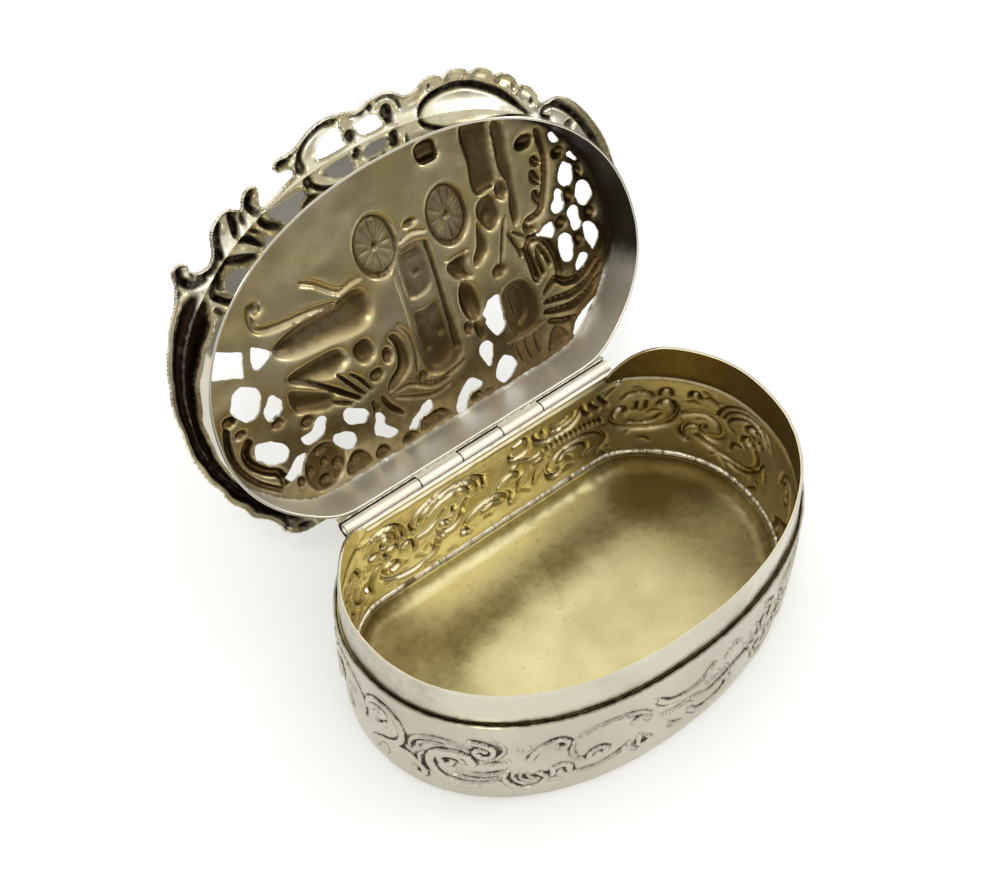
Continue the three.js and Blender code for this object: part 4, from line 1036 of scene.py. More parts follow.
def addBand():
    # outside and inside: upright, wavering by 0.025. Inside, the solder stands out under the sheet by
    # bead * smooth(height within the bead)^2, and the lower edge is rolled.
    turns = np.linspace(0, 2 * np.pi, band["stations"], endpoint=False)
    isNotch = (np.sin(turns) > 0) & (np.abs(planLine(turns)[:, 0]) < wall["notchHalf"])
    bottom = np.where(isNotch, hingeAxis[2] + band["notch"], lipHeight + band["bottomGap"])[:, None]
    ease, levels = band["ease"], band["levels"]
    top = sheetBottom + band["lap"]
    z = bottom + ease + (top - bottom - ease) * np.linspace(0, 1, levels)[None]
    waver = 0.025 * lumps(turns[:, None] * 14 + 30, z / 4, 1.0, 21)
    solderBead = (0.34 + 0.16 * lumps(turns * 90 + 11, turns * 0 + 5, 1.0, 22))[:, None]
    inside = plan["bandInside"] + waver - solderBead * smooth((z - top + solderBead) / solderBead) ** 2
    lip = np.array([[-0.44, 0.35], [-0.25, 0.0], [-0.06, 0.35]])
    outward = np.hstack([plan["bandOutside"] + waver, inside[:, ::-1],
                         plan["bandOutside"] + lip[:, 0][None] + waver[:, :1]])
    height = np.hstack([z, z[:, ::-1], bottom + ease * lip[:, 1][None]])
    points = hoopPoints(turns, outward, height)

    # painted shade inside: darker under the sheet, where the band meets it, and away from the hinge
    dirtAndShade = np.zeros(outward.shape)
    inner = slice(levels, 2 * levels)
    away = 0.84 * smooth((17 - planLine(turns)[:, 1:]) / 14)
    dirtAndShade[:, inner] = np.clip(smooth((height[:, inner] - top + 1.4) / 1.4) * 0.3 + away, 0, 1)
    column = np.arange(outward.shape[1])
    isToned = (column >= levels - 1) & (column < 2 * levels + 1)
    addPiece("lid_band_strip", "lid", ["lid_band"], openLid(points.reshape(-1, 3)),
             hoopFaces(points), [brightBand, tonedBand], finish=np.tile(isToned, len(turns)),
             tarnishAndShade=dirtAndShade.ravel())


addBand()

# Lid sheet. Its edge, openings and chased marks are drawn on the closed plan: x right, front at -y.
sheet = {"thickness": 0.5, "panelPitch": 0.285, "borderPitch": 0.26, "crown": 1.0, "panelLap": 0.1}

leftSweep = [
    (-33.5, 26.2), (-36.3, 24.4), (-37.2, 22.3), (-40.2, 19), (-43, 14.8), (-45.2, 9.5), (-46.6, 3.5),
    (-47, -2), (-46.5, -8), (-44.9, -13.8), (-42.2, -19.3), (-39.3, -23.4),
]
leftCurl = [(-38.3, -26.2), (-38.1, -28.1), (-36.8, -28.9), (-35.5, -28.2), (-35.2, -26.8), (-33.6, -25.8)]
acanthusTips = [
    (-31.4, -26.4), (-30.1, -28.3), (-29.5, -30.7), (-28, -32.4), (-25.8, -33.3), (-24.2, -32.5),
    (-23, -32.2), (-22.1, -33.9), (-20.7, -34.9), (-19.4, -34.3), (-19.6, -32.8), (-20.1, -31.4),
    (-19.2, -30.6),
]
rail = [(-17, -31.2), (-14.5, -32.2), (-12.4, -33)]
openScroll = [
    (-11.9, -34.1), (-13, -34.8), (-14.5, -35), (-15.1, -36), (-14.1, -36.9), (-12.2, -36.7), (-9.8, -37.5),
    (-6.8, -38.8), (-3.6, -39.3), (-0.6, -38.9), (2.6, -38), (4.6, -38.6), (7.4, -38.7), (9.8, -37.8),
    (11.6, -36.4),
]
rightScroll = [
    (38.2, -22.8), (40.2, -22.9), (42.4, -21.8), (44.3, -19.7), (46, -16.8), (47.4, -13.3), (48.2, -9.5),
    (48.5, -4.5), (48.4, 1), (47.6, 6), (46, 11), (43.6, 15.6), (40.4, 19.6), (37.6, 22.2), (36.8, 24.3),
    (33.6, 26.3),
]
backEdge = [(24, 26.6), (12, 27.1), (0, 27.3), (-12, 27.1), (-24, 26.6)]
shell = {"centre": (15.6, -12.6), "radius": 23.9, "rise": 0.9, "from": -93.0, "to": -28.0, "lobes": 5}


def shellEdge():
    # scallops: radius + rise * sqrt|sin(pi * lobes * share)| along the arc
    share = np.linspace(0, 1, shell["lobes"] * 5 + 1)
    angle = np.radians(shell["from"] + (shell["to"] - shell["from"]) * share)
    radius = shell["radius"] + shell["rise"] * np.sqrt(np.abs(np.sin(np.pi * shell["lobes"] * share)))
    return list(zip(shell["centre"][0] + radius * np.cos(angle), shell["centre"][1] + radius * np.sin(angle)))


# openings of the border and the panel, each as x, y, x, y and so on round it
scrollOpenings = [
    [-6.9, -33.4, -6.8, -34.8, -5.6, -36.3, -3.4, -37.2, -1.5, -36.8, -1, -35.4, -1.3, -34.1, -0.7, -33.4],
    [1.6, -35.9, 5.2, -36.1, 6.6, -35.1, 7, -33.6, 4.4, -33.3, 2.4, -33.6, 1.5, -34.6],
]
strutPiercings = [
    [-37.2, -13, -32, -9.8, -33.3, -5.3, -40.4, -8.6],
    [-30.2, -9.8, -26.8, -7.1, -30, -5.3, -31.3, -5.6, -31.3, -7.5],
]
roundPiercings = [
    [-35.5, -4.3, -32.3, -3, -31.6, -1, -33.4, 1.9, -35.4, 2.2, -37.3, 0.3, -37.9, -1.6],
    [-30.1, 0, -28.8, 1.3, -28.6, 2.2, -29.5, 4.1, -31.9, 4.1, -32.4, 2.4, -31.6, 1],
    [-36, 7, -34.5, 7, -32.7, 7.6, -30.5, 10.3, -31.7, 12.4, -34.6, 12, -35.7, 10.5, -36.8, 10],
    [-27.8, 9.9, -25.7, 9.8, -23.4, 8.3, -22.2, 8.8, -22.2, 9.9, -23.5, 11.9, -26.9, 12],
    [-17.8, 9.6, -15.5, 10.8, -14.2, 12.2, -14.4, 13.4, -15.9, 14, -18.6, 12.3, -18.9, 10.4],
    [-30.1, 12.9, -27.8, 13, -28.8, 15, -29.8, 16.1, -32, 16.5, -32.9, 15.6],
    [-22.2, 13.3, -20.9, 13, -18.4, 14.2, -17.9, 15.5, -18.9, 17.2, -20.6, 16.6, -22, 15],
    [-12.6, 13.8, -11.4, 15, -11.5, 16.6, -9.7, 19, -10.9, 19.6, -12.3, 19, -14.4, 16.9],
    [-7.9, 19.8, -4.7, 17.7, -3.2, 16.8, -1.8, 17.1, -2.1, 19.1, -4.6, 19.6, -6.2, 20.9],
    [3, 23, 2.3, 21.9, 3.2, 19.6, 6.5, 17.2, 8.2, 18.1, 9, 19.9, 5.9, 20.6, 4.1, 22.7],
    [10.4, 14, 11, 12.5, 12.6, 12.4, 13.7, 14, 12.6, 16.6, 11.8, 17.5, 10.9, 16.6],
    [15.9, 5.2, 17.9, 5.9, 17.6, 10.5, 17.2, 12.2, 15, 12.7, 13.4, 9.6, 13.8, 8.4, 13.5, 7.2],
    [14.4, 17.1, 16, 17.7, 17.2, 19.6, 16.2, 21.1, 13.8, 22.2, 12.2, 20.8, 12.5, 19],
    [37, -17.5, 38, -17.2, 38.7, -15.4, 37.6, -15.3, 36.8, -16.5],
    [39.5, -12.1, 40.4, -12.4, 41.4, -10.3, 40.5, -10.5],
    [37.9, -11.1, 39.4, -10.6, 40, -9.5, 39.4, -7.2, 38.2, -6.3, 36.9, -6.9, 36, -8.8],
    [35.3, -7.3, 36.6, -5.9, 35.9, -3.1, 34.1, -2.8, 32.9, -4.1, 34.1, -5.7],
    [40.6, -6.4, 42.1, -5, 42.5, -2.6, 40.7, -1, 39.4, -1.9, 38.8, -3.9, 39.4, -5.7],
    [29.1, -0.7, 30.6, -2, 32.5, -2, 32.8, -0.1, 31.6, 1.2, 30.6, 0.5],
    [36.3, -1.9, 37.6, -2.6, 39, -1.6, 38.4, 0, 38.7, 1.4, 37.6, 2.5, 36.2, 1.6, 36.3, -0.1],
    [33.8, 1.2, 35.3, 1.9, 35.9, 4, 35.1, 6.1, 34, 7.1, 32.5, 6.1, 32.1, 4, 32.8, 1.9],
    [39, 1.9, 40.6, 1.9, 41.6, 4, 41.2, 6.1, 39.7, 7.4, 39, 6.1, 38.4, 4],
    [36.5, 6.5, 38.2, 8.1, 36.5, 9.9, 35, 9.9, 34.7, 8.4],
    [37.2, 16.2, 36, 17.7, 31.2, 21.1, 30.3, 20.6, 31.5, 18.7, 32.6, 17.8, 34.4, 17.2],
]


def wheelMarks(x, y, halfWidth, halfHeight):
    # an oval plateau with a raised rim, twelve spokes and a hub
    def onOval(t, share, inset=0.0):
        return x + share * (halfWidth - inset) * np.cos(t), y + share * (halfHeight - inset) * np.sin(t)

    turns = np.linspace(0, 2 * np.pi, 13)[:-1]
    plateau = [place for t in turns for place in onOval(t, 1)]
    rim = [place for t in np.append(turns, 2 * np.pi) for place in onOval(t, 1, 0.55)]
    spokes = [rib(0.75, 0.92, *onOval(t, 0.22), *onOval(t, 0.8)) for t in turns]
    return [leaf(0.5, 0.55, *plateau), roll(0.9, 0.95, *rim), bead(1.1, x, y, 0.9, 1.1)] + spokes


panelMarks = wheelMarks(-2.2, -14.6, 4.6, 5.9) + wheelMarks(12.9, -13.2, 4.3, 5.9) + [
    # coach body, its door, post and seat
    leaf(0.5, 0.5, -0.6, -11, 2.6, -12.2, 6, -12, 8.2, -10, 8.2, 0, 7.6, 10.4, 6.2, 12.8, 3, 13.6, 0, 12.6,
        -1, 9, -0.8, -2),
    leaf(0.4, 0.85, 1, -10.4, 3.8, -11, 6, -10.2, 6.4, -6, 5.9, -2.6, 3.4, -1.6, 0.8, -2.4, 0.6, -6),
    leaf(0.4, 0.85, 0.4, 1, 3.2, 0.6, 6, 1, 6.1, 9, 5.2, 11.6, 3, 12.5, 1, 11.8, 0.3, 9),
    roll(1.1, 1, 7.3, -10.6, 7.4, -4, 7.2, 4, 6.9, 10.6),
    rib(0.9, 1.1, 2.2, -9.2, 5.4, -9.2),
    bead(1.15, 3.8, -6.2, 1.7, 1),
    bead(1.3, 1.6, 8, 0.9, 1),
    bead(1.3, 4.9, 6.4, 1.1, 1.2),
    bead(0.8, 5.3, -15.4, 1.6, 0.7),
    rib(0.8, 0.6, 2.4, -13.1, 5, -13.7, 7.8, -12.7),
    # nested springs and straps left of and under the coach
    rib(0.9, 0.7, -3.4, 0.6, -1.9, 3, -1.6, 7, -2.6, 10.8),
    rib(0.8, 0.7, -8.4, 12.8, -5, 14.6, -1, 16.1, 2.6, 16),
    rib(0.8, 0.7, -8, 11.9, -5.4, 11.9, -3.4, 12.8, -0.6, 14.6, 3, 14.9),
    rib(0.8, 0.7, -3.2, 11, -2, 13, 1, 14.3, 4.2, 14, 6.8, 13.4),
    bead(0.9, -1.6, 12, 0.9, 1.1),
    # team of horses: bodies, necks, manes and legs
    leaf(2.2, 1.1, -27, -7.5, -22, -9.2, -14, -9.2, -9, -9.8, -6.4, -8.2, -6.8, -4, -10, -2.2, -16, -2.8,
        -22, -3.4, -26, -5),
    leaf(1.8, 1, -26.4, -1.4, -21, -2, -15, -1.4, -14, 1.6, -17, 3, -20, 2.6, -24.4, 1.4),
    leaf(1.5, 1, -27, 1, -23.6, 2.6, -19, 6, -20.4, 8, -24, 7, -27, 5.4),
    leaf(1.5, 1.2, -6, 1.4, -4, 1.8, -2.8, 5, -3.4, 8.8, -6.4, 11, -9, 11.3, -8.4, 9.4, -5.8, 7.4, -5.2, 4),
    leaf(1.4, 1.1, -12.8, -0.2, -10, -0.6, -8.6, 1.2, -9.4, 3.6, -11.6, 4, -13.2, 2),
    bead(1.1, -10.2, 6.9, 1.5, 1.2),
    bead(1, -7, 4.6, 1.2, 1.6),
    rib(1.6, 1.2, -25.8, -0.6, -22, 2.2, -18.4, 5.6, -14.6, 9.4),
    rib(1.1, 1.1, -17.2, 3, -15.4, 6, -13.4, 9.2),
    rib(1, 1, -19.6, 7.4, -16.4, 9.4),
    rib(1, 1, -15, 4, -13.2, 6.4, -12, 9),
    roll(1.3, 0.8, -28, -16, -28.7, -13.6, -27.6, -11.6, -24, -10.7, -18, -10, -13.4, -8.9),
    bead(0.9, -27.2, -15.6, 1.3, 1.2),
    roll(1.1, 0.7, -17.8, -15.6, -15.4, -14, -13, -11.6, -11.6, -10.6),
    rib(1.2, 0.7, -12, -10.2, -9.4, -11, -7, -11),
    bead(1.1, -25.4, 7.9, 1.4, 1),
    rib(1.6, 0.9, -12.6, 11.2, -12.4, 12.8, -13.2, 14),
    rib(1.4, 1, -10.6, 11.4, -9.6, 14, -7.6, 16.6),
    # standing groom with plain round head, behind the coach
    leaf(1, 1, 9.7, -4.6, 14, -4.8, 13.6, -2.2, 13.8, 0, 11.4, -0.6, 9.9, -2.4),
    rib(0.8, 0.9, 9.8, -5.4, 14.4, -5.4),
    bead(1.3, 11.9, 3.8, 2, 4.2),
    bead(0.9, 9.9, 8.4, 0.9, 1.3),
    rib(2, 0.8, 11.6, 8.4, 12, 11.4),
    # inn front: two posts, hanging sign and bracket
    leaf(0.9, 1, 20.2, -26.6, 25.6, -25.6, 24.9, -19, 24.1, -14, 22.4, -13.5, 19.7, -13.5, 18.9, -16,
        19.6, -20),
    leaf(0.8, 0.7, 26.4, -24.6, 28.6, -23.4, 28.1, -17, 27.5, -12, 26.6, -6, 25.2, -4.6, 25, -8, 26, -12,
        25.2, -16, 25.6, -20),
    leaf(0.7, 0.9, 19.4, -12.4, 22.4, -12.6, 23.2, -10, 22.8, -7.4, 20.4, -6.2, 18.9, -8, 18.4, -10.4),
    bead(1.4, 20.7, -9.2, 1.1, 1.6),
    bead(0.9, 24.6, -12.2, 1.4, 2),
    leaf(0.6, 0.8, 18, -9.4, 18.7, -6, 18.3, -3, 15.4, -1.4, 15, -3, 16.6, -5),
    # leaf spray on a bent stem
    bead(1.5, 31.8, -18.3, 2, 1.1),
    leaf(0.6, 1.2, 32, -14.8, 33.2, -15, 34, -13.4, 33.2, -12.8, 32.2, -13.6),
    leaf(0.6, 1.2, 31.2, -12.6, 32.4, -12.4, 33, -10.4, 32.4, -9.4, 31, -10.8),
    leaf(0.6, 1.2, 30.6, -8.8, 31.8, -8.6, 32.2, -6.8, 31.4, -5.8, 30.4, -7.2),
    roll(1.1, 1, 34.9, -19, 35.1, -15, 34.3, -11.5, 33, -8, 31.4, -5.2, 29.4, -4.5, 27.6, -4.2, 27.3, -2.8,
        28.6, -2.4),
    # gable, loop and fluted drapery
    rib(0.9, 0.9, 23.6, -7.4, 22, -4, 20.2, 0.2),
    rib(0.9, 0.9, 23.2, -4.2, 24.2, -1, 24.8, 0.8),
    rib(0.9, 0.9, 24.2, -4, 26, -2.4, 28, -1),
    bead(0.8, 19.3, 1.4, 1.6, 1.2),
    bead(0.9, 24.9, 0.6, 0.8, 0.8),
    roll(1.5, 1.3, 26.4, 6.8, 26.2, 3, 26.3, 0.6, 27.6, -0.7, 29.6, 0, 31, 2.2, 31.5, 5.4, 31.4, 8),
    rib(1.6, 1.1, 28, 6.6, 27.9, 3.4, 28.6, 1.4, 29.4, 3.2, 29.8, 5.6),
    rib(2, 1.4, 27, 10.2, 30, 8.8, 32, 10.4, 35.4, 11, 39.4, 9.4),
    rib(2, 1.4, 26.6, 12, 29.4, 12.6, 33, 13.2, 37, 12.6, 40.2, 10.6),
    rib(2, 1.4, 26, 13.8, 29, 14.8, 32.6, 15.4, 36.6, 14.6, 39.4, 12.8),
    rib(1.8, 1.2, 26.2, 15.8, 29, 17.2, 31.6, 17.8),
    # mounting block and its cloth
    leaf(0.5, 0.55, 18.4, 5.8, 24.2, 5.8, 24.4, 14.6, 18.6, 14.8),
    leaf(0.5, 1, 19.8, 6.6, 22.8, 6.6, 22.9, 11.6, 21.4, 13.4, 20, 13),
    rib(0.8, 0.6, 16.6, 15.1, 21.4, 15.3, 25.4, 15),
    rib(1.1, 0.6, 18.2, 16.6, 18.8, 20.6),
    rib(1.1, 0.6, 20.2, 16.4, 20.6, 20.8),
    rib(1.1, 0.6, 22.4, 16.4, 22.6, 20.6),
    leaf(0.8, 0.8, 24.4, 21.4, 26.4, 17.6, 28.4, 18, 29.4, 20.6, 27, 21.8),
    leaf(0.7, 1.5, 10.6, -27.2, 14.4, -27.2, 14.6, -24.2, 12.8, -23.8, 10.8, -24.2),
    # left end: ridges that follow the band, and a deep crescent round one piercing
    roll(1.1, 0.9, -39.8, 1.6, -40.6, 5, -40, 9.4, -37.8, 13.6, -34.4, 17),
    bead(1.2, -38.8, 0.4, 1.3, 1),
    bead(0.9, -37.6, 3.6, 1.2, 0.8),
    roll(1.4, 1.4, -36.8, 5.8, -38, 7.4, -37.6, 10, -35.6, 12.4, -33.6, 14, -33.2, 16),
    bead(0.8, -30.6, 5.3, 1.4, 0.9),
    # garland of five-petal flowers along the hinge side
    leaf(0.9, 0.7, -25, 12.9, -22.2, 14, -20.8, 16.6, -21.6, 19.8, -24.4, 21.8, -27.6, 21.6, -29.4, 19,
        -29.2, 16, -27.6, 13.8),
    bead(1.7, -24.8, 16.9, 1, 1),
    bead(1.5, -27.9, 17.2, 1.2, 1.2),
    bead(1.6, -25.8, 20.3, 1.5, 1.3),
    bead(1.5, -22.6, 18.4, 1.3, 1.2),
    bead(1.3, -24.9, 14.4, 1.8, 1),
    bead(1.1, -30.4, 17.6, 0.8, 1),
    leaf(0.8, 0.8, -19.4, 17.8, -17.2, 18.8, -16.2, 21, -17, 22.6, -21, 22.6, -21.8, 20.4),
    bead(1.5, -18.9, 19.6, 1.4, 1.2),
    bead(1.3, -20.6, 21.6, 0.9, 0.9),
    bead(1.3, -18.4, 21.8, 0.9, 0.8),
    bead(1.3, -14, 21.4, 1.5, 1.6),
    bead(1.8, -8, 22.1, 1.9, 1.6),
    leaf(0.7, 0.8, -2.3, 19.3, 0.2, 20, 1.2, 22.2, -5.4, 22.6, -5, 20.4),
    bead(1.4, -3.8, 20.6, 1.1, 1),
    bead(1.4, -0.8, 20.6, 1.1, 1),
    bead(1.3, -2.3, 22.1, 1, 0.7),
    bead(1.4, 7.2, 21.7, 1.4, 1.1),
    bead(1.1, 9.8, 22.1, 1.1, 0.8),
    bead(1, 14.3, 23, 0.6, 0.5),
    # cups at the crossings of the pierced net
    bead(1.3, 37.7, -4.8, 1.1, 1.3),
    bead(1.2, 34.5, -0.8, 1.2, 1.1),
    bead(1.2, 37.3, 3.9, 1.1, 1.2),
    bead(1.2, 37.9, -13.4, 1.3, 0.9),
    bead(1.2, 40.9, -8.2, 0.7, 1),
    bead(1.2, 41, 0.4, 1.2, 1.1),
]

borderMarks = [
    # leaf tips of the left curl and the acanthus
    rib(2, 1.2, -36.8, -28, -36.8, -26, -35.2, -24.2, -33, -24.4),
    bead(0.9, -38.3, -24, 0.6, 0.8),
    rib(1.6, 1.1, -34.2, -25.2, -31.4, -25.2, -29.6, -26.4),
    rib(2.3, 1.5, -27.6, -31.6, -28.6, -29.6, -29.2, -27, -29, -25.6),
    rib(1.9, 1.4, -25, -32.4, -24.8, -30.2, -25.4, -28),
    rib(1.3, 1.1, -23, -31.6, -23.2, -29.4),
    rib(2, 1.4, -20.2, -34, -21.2, -32.4, -20.8, -30.6, -19.6, -29.8),
    # open scroll
    rib(1.5, 1.1, -14.3, -35.9, -12.6, -36, -10.4, -36.4),
    rib(1.8, 1.3, -9.9, -33.4, -9.6, -35.4, -7.6, -37.3, -4.4, -38.4, -1.4, -38),
    bead(1.3, -10.3, -33.6, 1, 1.3),
    bead(1.2, 0.3, -34.2, 0.9, 1.2),
    rib(1.1, 0.8, 1, -37.4, 3, -36.9, 5, -37.4),
    bead(0.9, 5.4, -37.2, 0.6, 0.8),
    bead(1.6, 8.2, -34.6, 1.2, 1.9),
    rib(1.3, 1, 6.6, -37.6, 8.6, -37.9, 10.4, -36.6, 11, -34.6),
    # shell: a deep crescent, the plain face inside it and a dimple between its scallops
    rib(1.9, 1.7, 13.6, -31.7, 15.4, -33.2, 19, -33.9, 23.4, -33.2, 27.4, -31, 31, -27.8, 33.4, -24.4,
        35, -21.6),
    cut(1.2, 0.4, 14.2, -30.6, 20, -31.2, 26, -28.6, 31, -24.6),
    bead(0.7, 17.3, -35.6, 0.4, 0.7),
    bead(0.8, 24.4, -34.4, 0.4, 0.8),
    bead(0.8, 33.2, -28.4, 0.5, 0.9),
    bead(0.8, 36, -24.2, 0.6, 0.8),
    # right scroll
    rib(2.1, 1.6, 38.6, -19.6, 37.4, -20.9, 38.6, -22, 40.8, -21.4, 43.4, -18.8, 45.4, -15.2, 46.8, -11,
        47.4, -6, 47.3, 0),
    bead(1.1, 42.4, -16.6, 1.2, 0.9),
    rib(1.4, 1, 47.2, 1, 46.4, 6, 44.8, 10.6, 42.4, 15),
    # lower left corner and the left channel
    bead(1, -36, 24, 0.7, 0.6),
    rib(1.2, 0.9, -34, 25.4, -31, 26),
]


def sheetGrid(low, high, pitch):
    x = np.arange(low[0], high[0] + pitch, pitch)
    y = np.arange(low[1], high[1] + pitch, pitch)
    return np.meshgrid(x, y)


def outlineDepth(x, y, loop):
    # signed distance to a closed outline, more than 0 inside it
    distance, _ = nearPath(x, y, loop, closed=True)
    return np.where(isInside(x, y, loop), distance, -distance)


def openingDepth(x, y, places):
    # the same for a rounded opening, given as x, y, x, y and so on
    return outlineDepth(x, y, curveThrough(np.reshape(places, (-1, 2)), closed=True, steps=4))


def bandRim():
    # where panel and border meet, over the band
    turns = np.linspace(0, 2 * np.pi, 361)[:-1]
    return planOffset(turns, np.full(len(turns), plan["bandOutside"] - sheet["panelLap"]))


def cutSheet(x, y, depth):
    # quads whose middle lies in the sheet; points on their open edges move onto the outline, by depth
    # along its slope
    middle = (depth[:-1, :-1] + depth[1:, :-1] + depth[:-1, 1:] + depth[1:, 1:]) / 4
    kept = middle > 0
    # where two kept quads touch at a corner only, a third one joins them
    kept[:-1, 1:] |= kept[:-1, :-1] & kept[1:, 1:] & ~kept[1:, :-1]
    kept[:-1, :-1] |= kept[:-1, 1:] & kept[1:, :-1] & ~kept[1:, 1:]
    rows, cols = depth.shape
    index = np.arange(rows * cols).reshape(rows, cols)
    quads = np.stack([index[:-1, :-1], index[:-1, 1:], index[1:, 1:], index[1:, :-1]], -1)[kept]
    uses = np.bincount(quads.ravel(), minlength=rows * cols).reshape(rows, cols)
    onBorder = (uses > 0) & (uses < 4)
    pitch = x[0, 1] - x[0, 0]
    slopeY, slopeX = np.gradient(depth, pitch)
    steep = np.maximum(slopeX**2 + slopeY**2, 0.2)
    move = np.where(onBorder, np.clip(depth, -pitch, pitch) / steep, 0)
    return x - move * slopeX, y - move * slopeY, quads


def thicken(x, y, height, quads, thickness):
    # lower face at height, upper face at height + thickness along the normal, joined round every edge
    pitch = x[0, 1] - x[0, 0]
    slopeY, slopeX = np.gradient(height, pitch)
    slopeX, slopeY = np.clip(slopeX, -2, 2), np.clip(slopeY, -2, 2)
    normal = np.stack([-slopeX, -slopeY, np.ones(height.shape)], -1)
    normal = normal / np.linalg.norm(normal, axis=-1, keepdims=True)
    lower = np.stack([x, y, height], -1)
    upper = lower + normal * thickness
    used = np.unique(quads)
    number = np.full(x.size, -1)
    number[used] = np.arange(len(used))
    quads = number[quads]
    starts, ends = quads.ravel(), np.roll(quads, -1, 1).ravel()
    count = len(used)
    isOpen = ~np.isin(starts * count + ends, ends * count + starts)
    a, b = starts[isOpen], ends[isOpen]
    sides = np.stack([a, b, b + count, a + count], 1)
    points = np.vstack([lower.reshape(-1, 3)[used], upper.reshape(-1, 3)[used]])
    faces = np.vstack([quads[:, ::-1], quads + count, sides])
    return points, faces, used


def addSheet(name, x, y, height, depth, inside, outside, materials):
    # the grid cut where depth falls below 0, and thickened; inside and outside are its dark places on the
    # lower and the upper face. Two materials are the lower face's and all the rest's.
    x, y, quads = cutSheet(x, y, depth)
    points, faces, used = thicken(x, y, height, quads, sheet["thickness"])
    tarnishAndShade = np.clip(np.concatenate([inside.ravel()[used], outside.ravel()[used]]), 0, 1)
    finish = np.arange(len(faces)) >= len(quads) if len(materials) > 1 else None
    addPiece(name, "lid", ["lid_sheet"], openLid(points), faces, materials, finish=finish,
             tarnishAndShade=tarnishAndShade)


def addPanel():
    # height: the marks, softened in two widths, and two sizes of swell, all fading out at the band; the
    # piercings' edges are ragged by up to 0.26
    rim = bandRim()
    x, y = sheetGrid(rim.min(0) - 0.5, rim.max(0) + 0.5, sheet["panelPitch"])
    edge = outlineDepth(x, y, rim)
    depth = edge
    ragged = 0.16 * lumps(x + 300, y + 300, 1.5, 34) + 0.1 * lumps(x + 300, y + 300, 0.8, 35)
    for places in strutPiercings:
        depth = np.minimum(depth, ragged - outlineDepth(x, y, np.reshape(places, (-1, 2))))
    for places in roundPiercings:
        depth = np.minimum(depth, ragged - openingDepth(x, y, places))
    relief = carve(x, y, panelMarks) * smooth((edge - 0.9) / 1.2)
    relief = 0.85 * blurred(relief, 0.6) + 0.5 * blurred(relief, 3.2)
    swell = 0.22 * lumps(x + 200, y + 200, 8.0, 31) + 0.09 * lumps(x + 200, y + 200, 3.6, 32)
    height = sheetBottom + relief + swell * smooth((edge - 1) / 3)
    softened = blurred(relief, 5)

    # inside: painted shade, darker to the right and towards the hinge, and a painted reflection, lighter in
    # the front left; dark in the marks with tarnish and painted shade, and beside the right end's piercings
    toneShadeAndSheen = 0.28 + 0.16 * smooth((x - 2) / 22) + 0.40 * smooth((y + 1) / 12)
    toneShadeAndSheen = toneShadeAndSheen - 0.26 * smooth((-4 - x) / 12) * smooth((-4 - y) / 8)
    inside = (relief - softened) * 0.8 + relief * 0.2 + 0.5 * smooth((1.6 - depth) / 1.6) * (x > 30) + toneShadeAndSheen
    # outside: dark in its hollows with tarnish and painted shade
    outside = (softened - relief) * 2.2
    addSheet("lid_panel", x, y, height, depth, inside, outside, [tonedSheet, borderSilver])


def addBorder():
    # height: the arch, crown * sin(pi * share from band to edge), or at the left a channel, 1.5 *
    # sqrt(sin(pi * share / 0.66)), with the marks over it and the edge rolled down by 0.35
    outline = curveThrough(leftSweep + leftCurl + acanthusTips + rail + openScroll + shellEdge() + rightScroll
                           + backEdge, closed=True, steps=4)
    x, y = sheetGrid(outline.min(0) - 0.5, outline.max(0) + 0.5, sheet["borderPitch"])
    isLeft = smooth((-33 - x) / 3) * smooth((y + 24) / 4)
    edge = outlineDepth(x, y, outline) + 0.3 * isLeft * lumps(x + 200, y + 200, 2.6, 33)
    out = -outlineDepth(x, y, bandRim())
    depth = np.minimum(edge, out)
    for places in scrollOpenings:
        depth = np.minimum(depth, -openingDepth(x, y, places))
    reach = np.maximum(edge, 0) + np.maximum(out, 0)
    share = np.clip(out, 0, None) / np.maximum(reach, 0.2)
    crown = np.minimum(sheet["crown"], 0.2 * reach)
    channel = 1.5 * np.sqrt(np.clip(np.sin(np.pi * np.clip(share / 0.66, 0, 1)), 0, 1))
    channel = channel * np.minimum(reach / 3, 1)
    arch = crown * np.sin(np.pi * share)
    relief = np.maximum(carve(x, y, borderMarks) * smooth(out / 0.5), isLeft * channel)
    relief = blurred(relief, 0.7) + arch * (1 - isLeft)
    rollDown = 0.35 * smooth((0.5 - depth) / 0.5) * smooth(out / 1.0)
    height = sheetBottom + relief - rollDown
    softened = blurred(relief, 4)

    # inside: dark in the marks with tarnish and painted shade, and in the channel and its outer strip, brown
    # at the front left
    brown = 0.34 * smooth((-20 - x) / 8) * (1 - isLeft) * (0.75 + 0.5 * lumps(x + 200, y + 200, 2.2, 36))
    inside = np.clip((relief - softened) * 1.05 + 0.25 * relief * (1 - isLeft) + brown, 0, 0.85)
    inside = inside + isLeft * (channel * 0.7 + 0.85 * smooth((0.85 - np.abs(edge - 1.2)) / 0.5))
    # outside: dark in its hollows with tarnish and painted shade
    outside = (softened - relief) * 1.5
    addSheet("lid_border", x, y, height, depth, inside, outside, [borderSilver])


addPanel()
addBorder()

# Stage: pale round floor under a bright ceiling, with the dim room beyond it, and soft light from panels
stage = {
    "centre": (0.02, 0.05), "radius": 0.27, "floor": (0.95, 0.95, 0.94), "rough": 0.7,
    "low": 0.3, "high": 1.2, "from": -0.05, "to": 0.6,  # the room's brightness, and the slopes it has it at
}


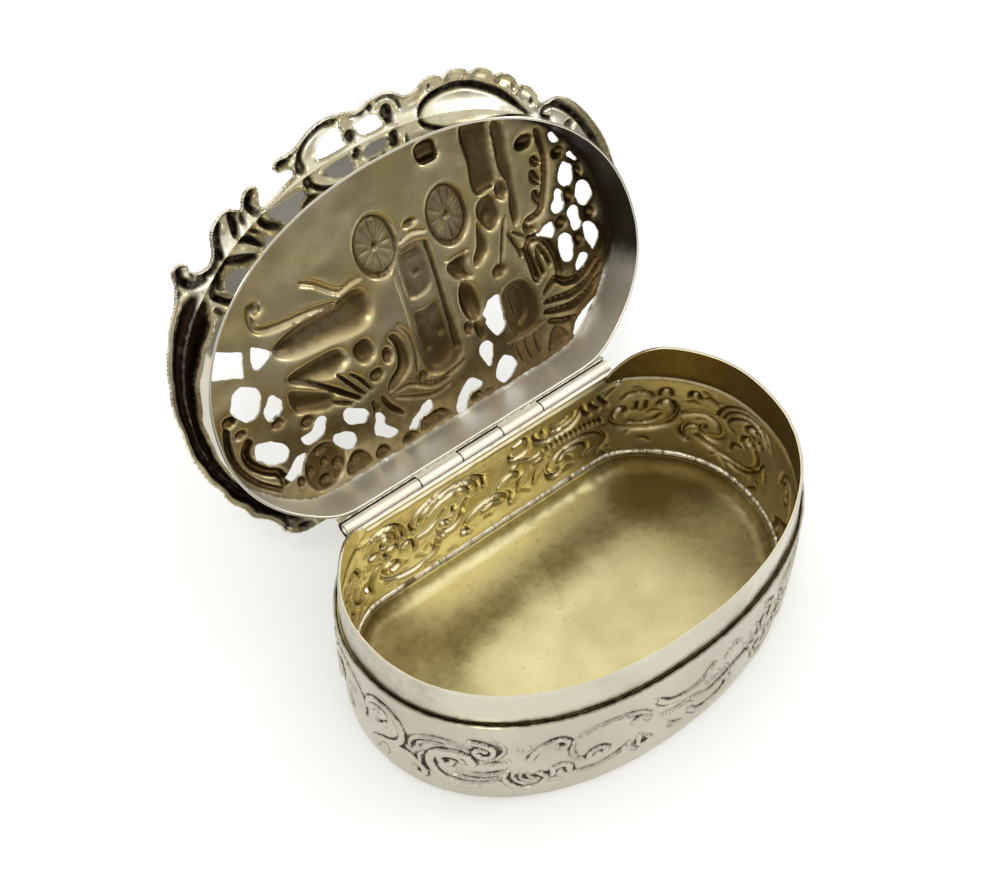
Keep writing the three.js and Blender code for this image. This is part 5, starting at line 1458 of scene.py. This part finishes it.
def addStage():
    turns = np.linspace(0, 2 * np.pi, 97)[:-1]
    ring = np.stack([stage["centre"][0] + stage["radius"] * np.cos(turns),
                     stage["centre"][1] + stage["radius"] * np.sin(turns), turns * 0], 1)
    mesh = bpy.data.meshes.new("stage_floor")
    mesh.from_pydata(ring.tolist(), [], [list(range(len(ring)))])
    material = bpy.data.materials.new("stage_floor")
    material.use_nodes = True
    shader = material.node_tree.nodes["Principled BSDF"]
    shader.inputs["Base Color"].default_value = (*stage["floor"], 1)
    shader.inputs["Roughness"].default_value = stage["rough"]
    mesh.materials.append(material)
    obj = bpy.data.objects.new("stage_floor", mesh)
    bpy.context.collection.objects.link(obj)

    # the room gets brighter from the horizon up
    world = bpy.data.worlds.new("studio")
    world.use_nodes = True
    nodes, links = world.node_tree.nodes, world.node_tree.links
    nodes["Background"].inputs["Color"].default_value = (1.0, 1.0, 1.0, 1)
    direction = nodes.new("ShaderNodeTexCoord").outputs["Generated"]
    apart = nodes.new("ShaderNodeSeparateXYZ")
    links.new(direction, apart.inputs["Vector"])
    climb = nodes.new("ShaderNodeMapRange")
    climb.interpolation_type = "SMOOTHSTEP"
    span = (stage["from"], stage["to"], stage["low"], stage["high"])
    for key, number in zip(("From Min", "From Max", "To Min", "To Max"), span):
        climb.inputs[key].default_value = number
    links.new(apart.outputs["Z"], climb.inputs["Value"])
    links.new(climb.outputs["Result"], nodes["Background"].inputs["Strength"])
    bpy.context.scene.world = world
    bpy.context.scene.view_settings.view_transform = "Standard"


lights = [
    {"name": "key", "place": (-0.35, -0.30, 0.9), "size": 0.14, "power": 1.2},
    {"name": "side", "place": (0.75, -0.45, 0.5), "size": 0.2, "power": 1.0},
]


def addLights():
    for light in lights:
        data = bpy.data.lights.new(light["name"], "AREA")
        data.size = light["size"]
        data.energy = light["power"]
        obj = bpy.data.objects.new(light["name"], data)
        bpy.context.collection.objects.link(obj)
        obj.location = light["place"]
        obj.rotation_euler = (-obj.location).to_track_quat("-Z", "Y").to_euler()


addStage()
addLights()
print("stage and lights set")
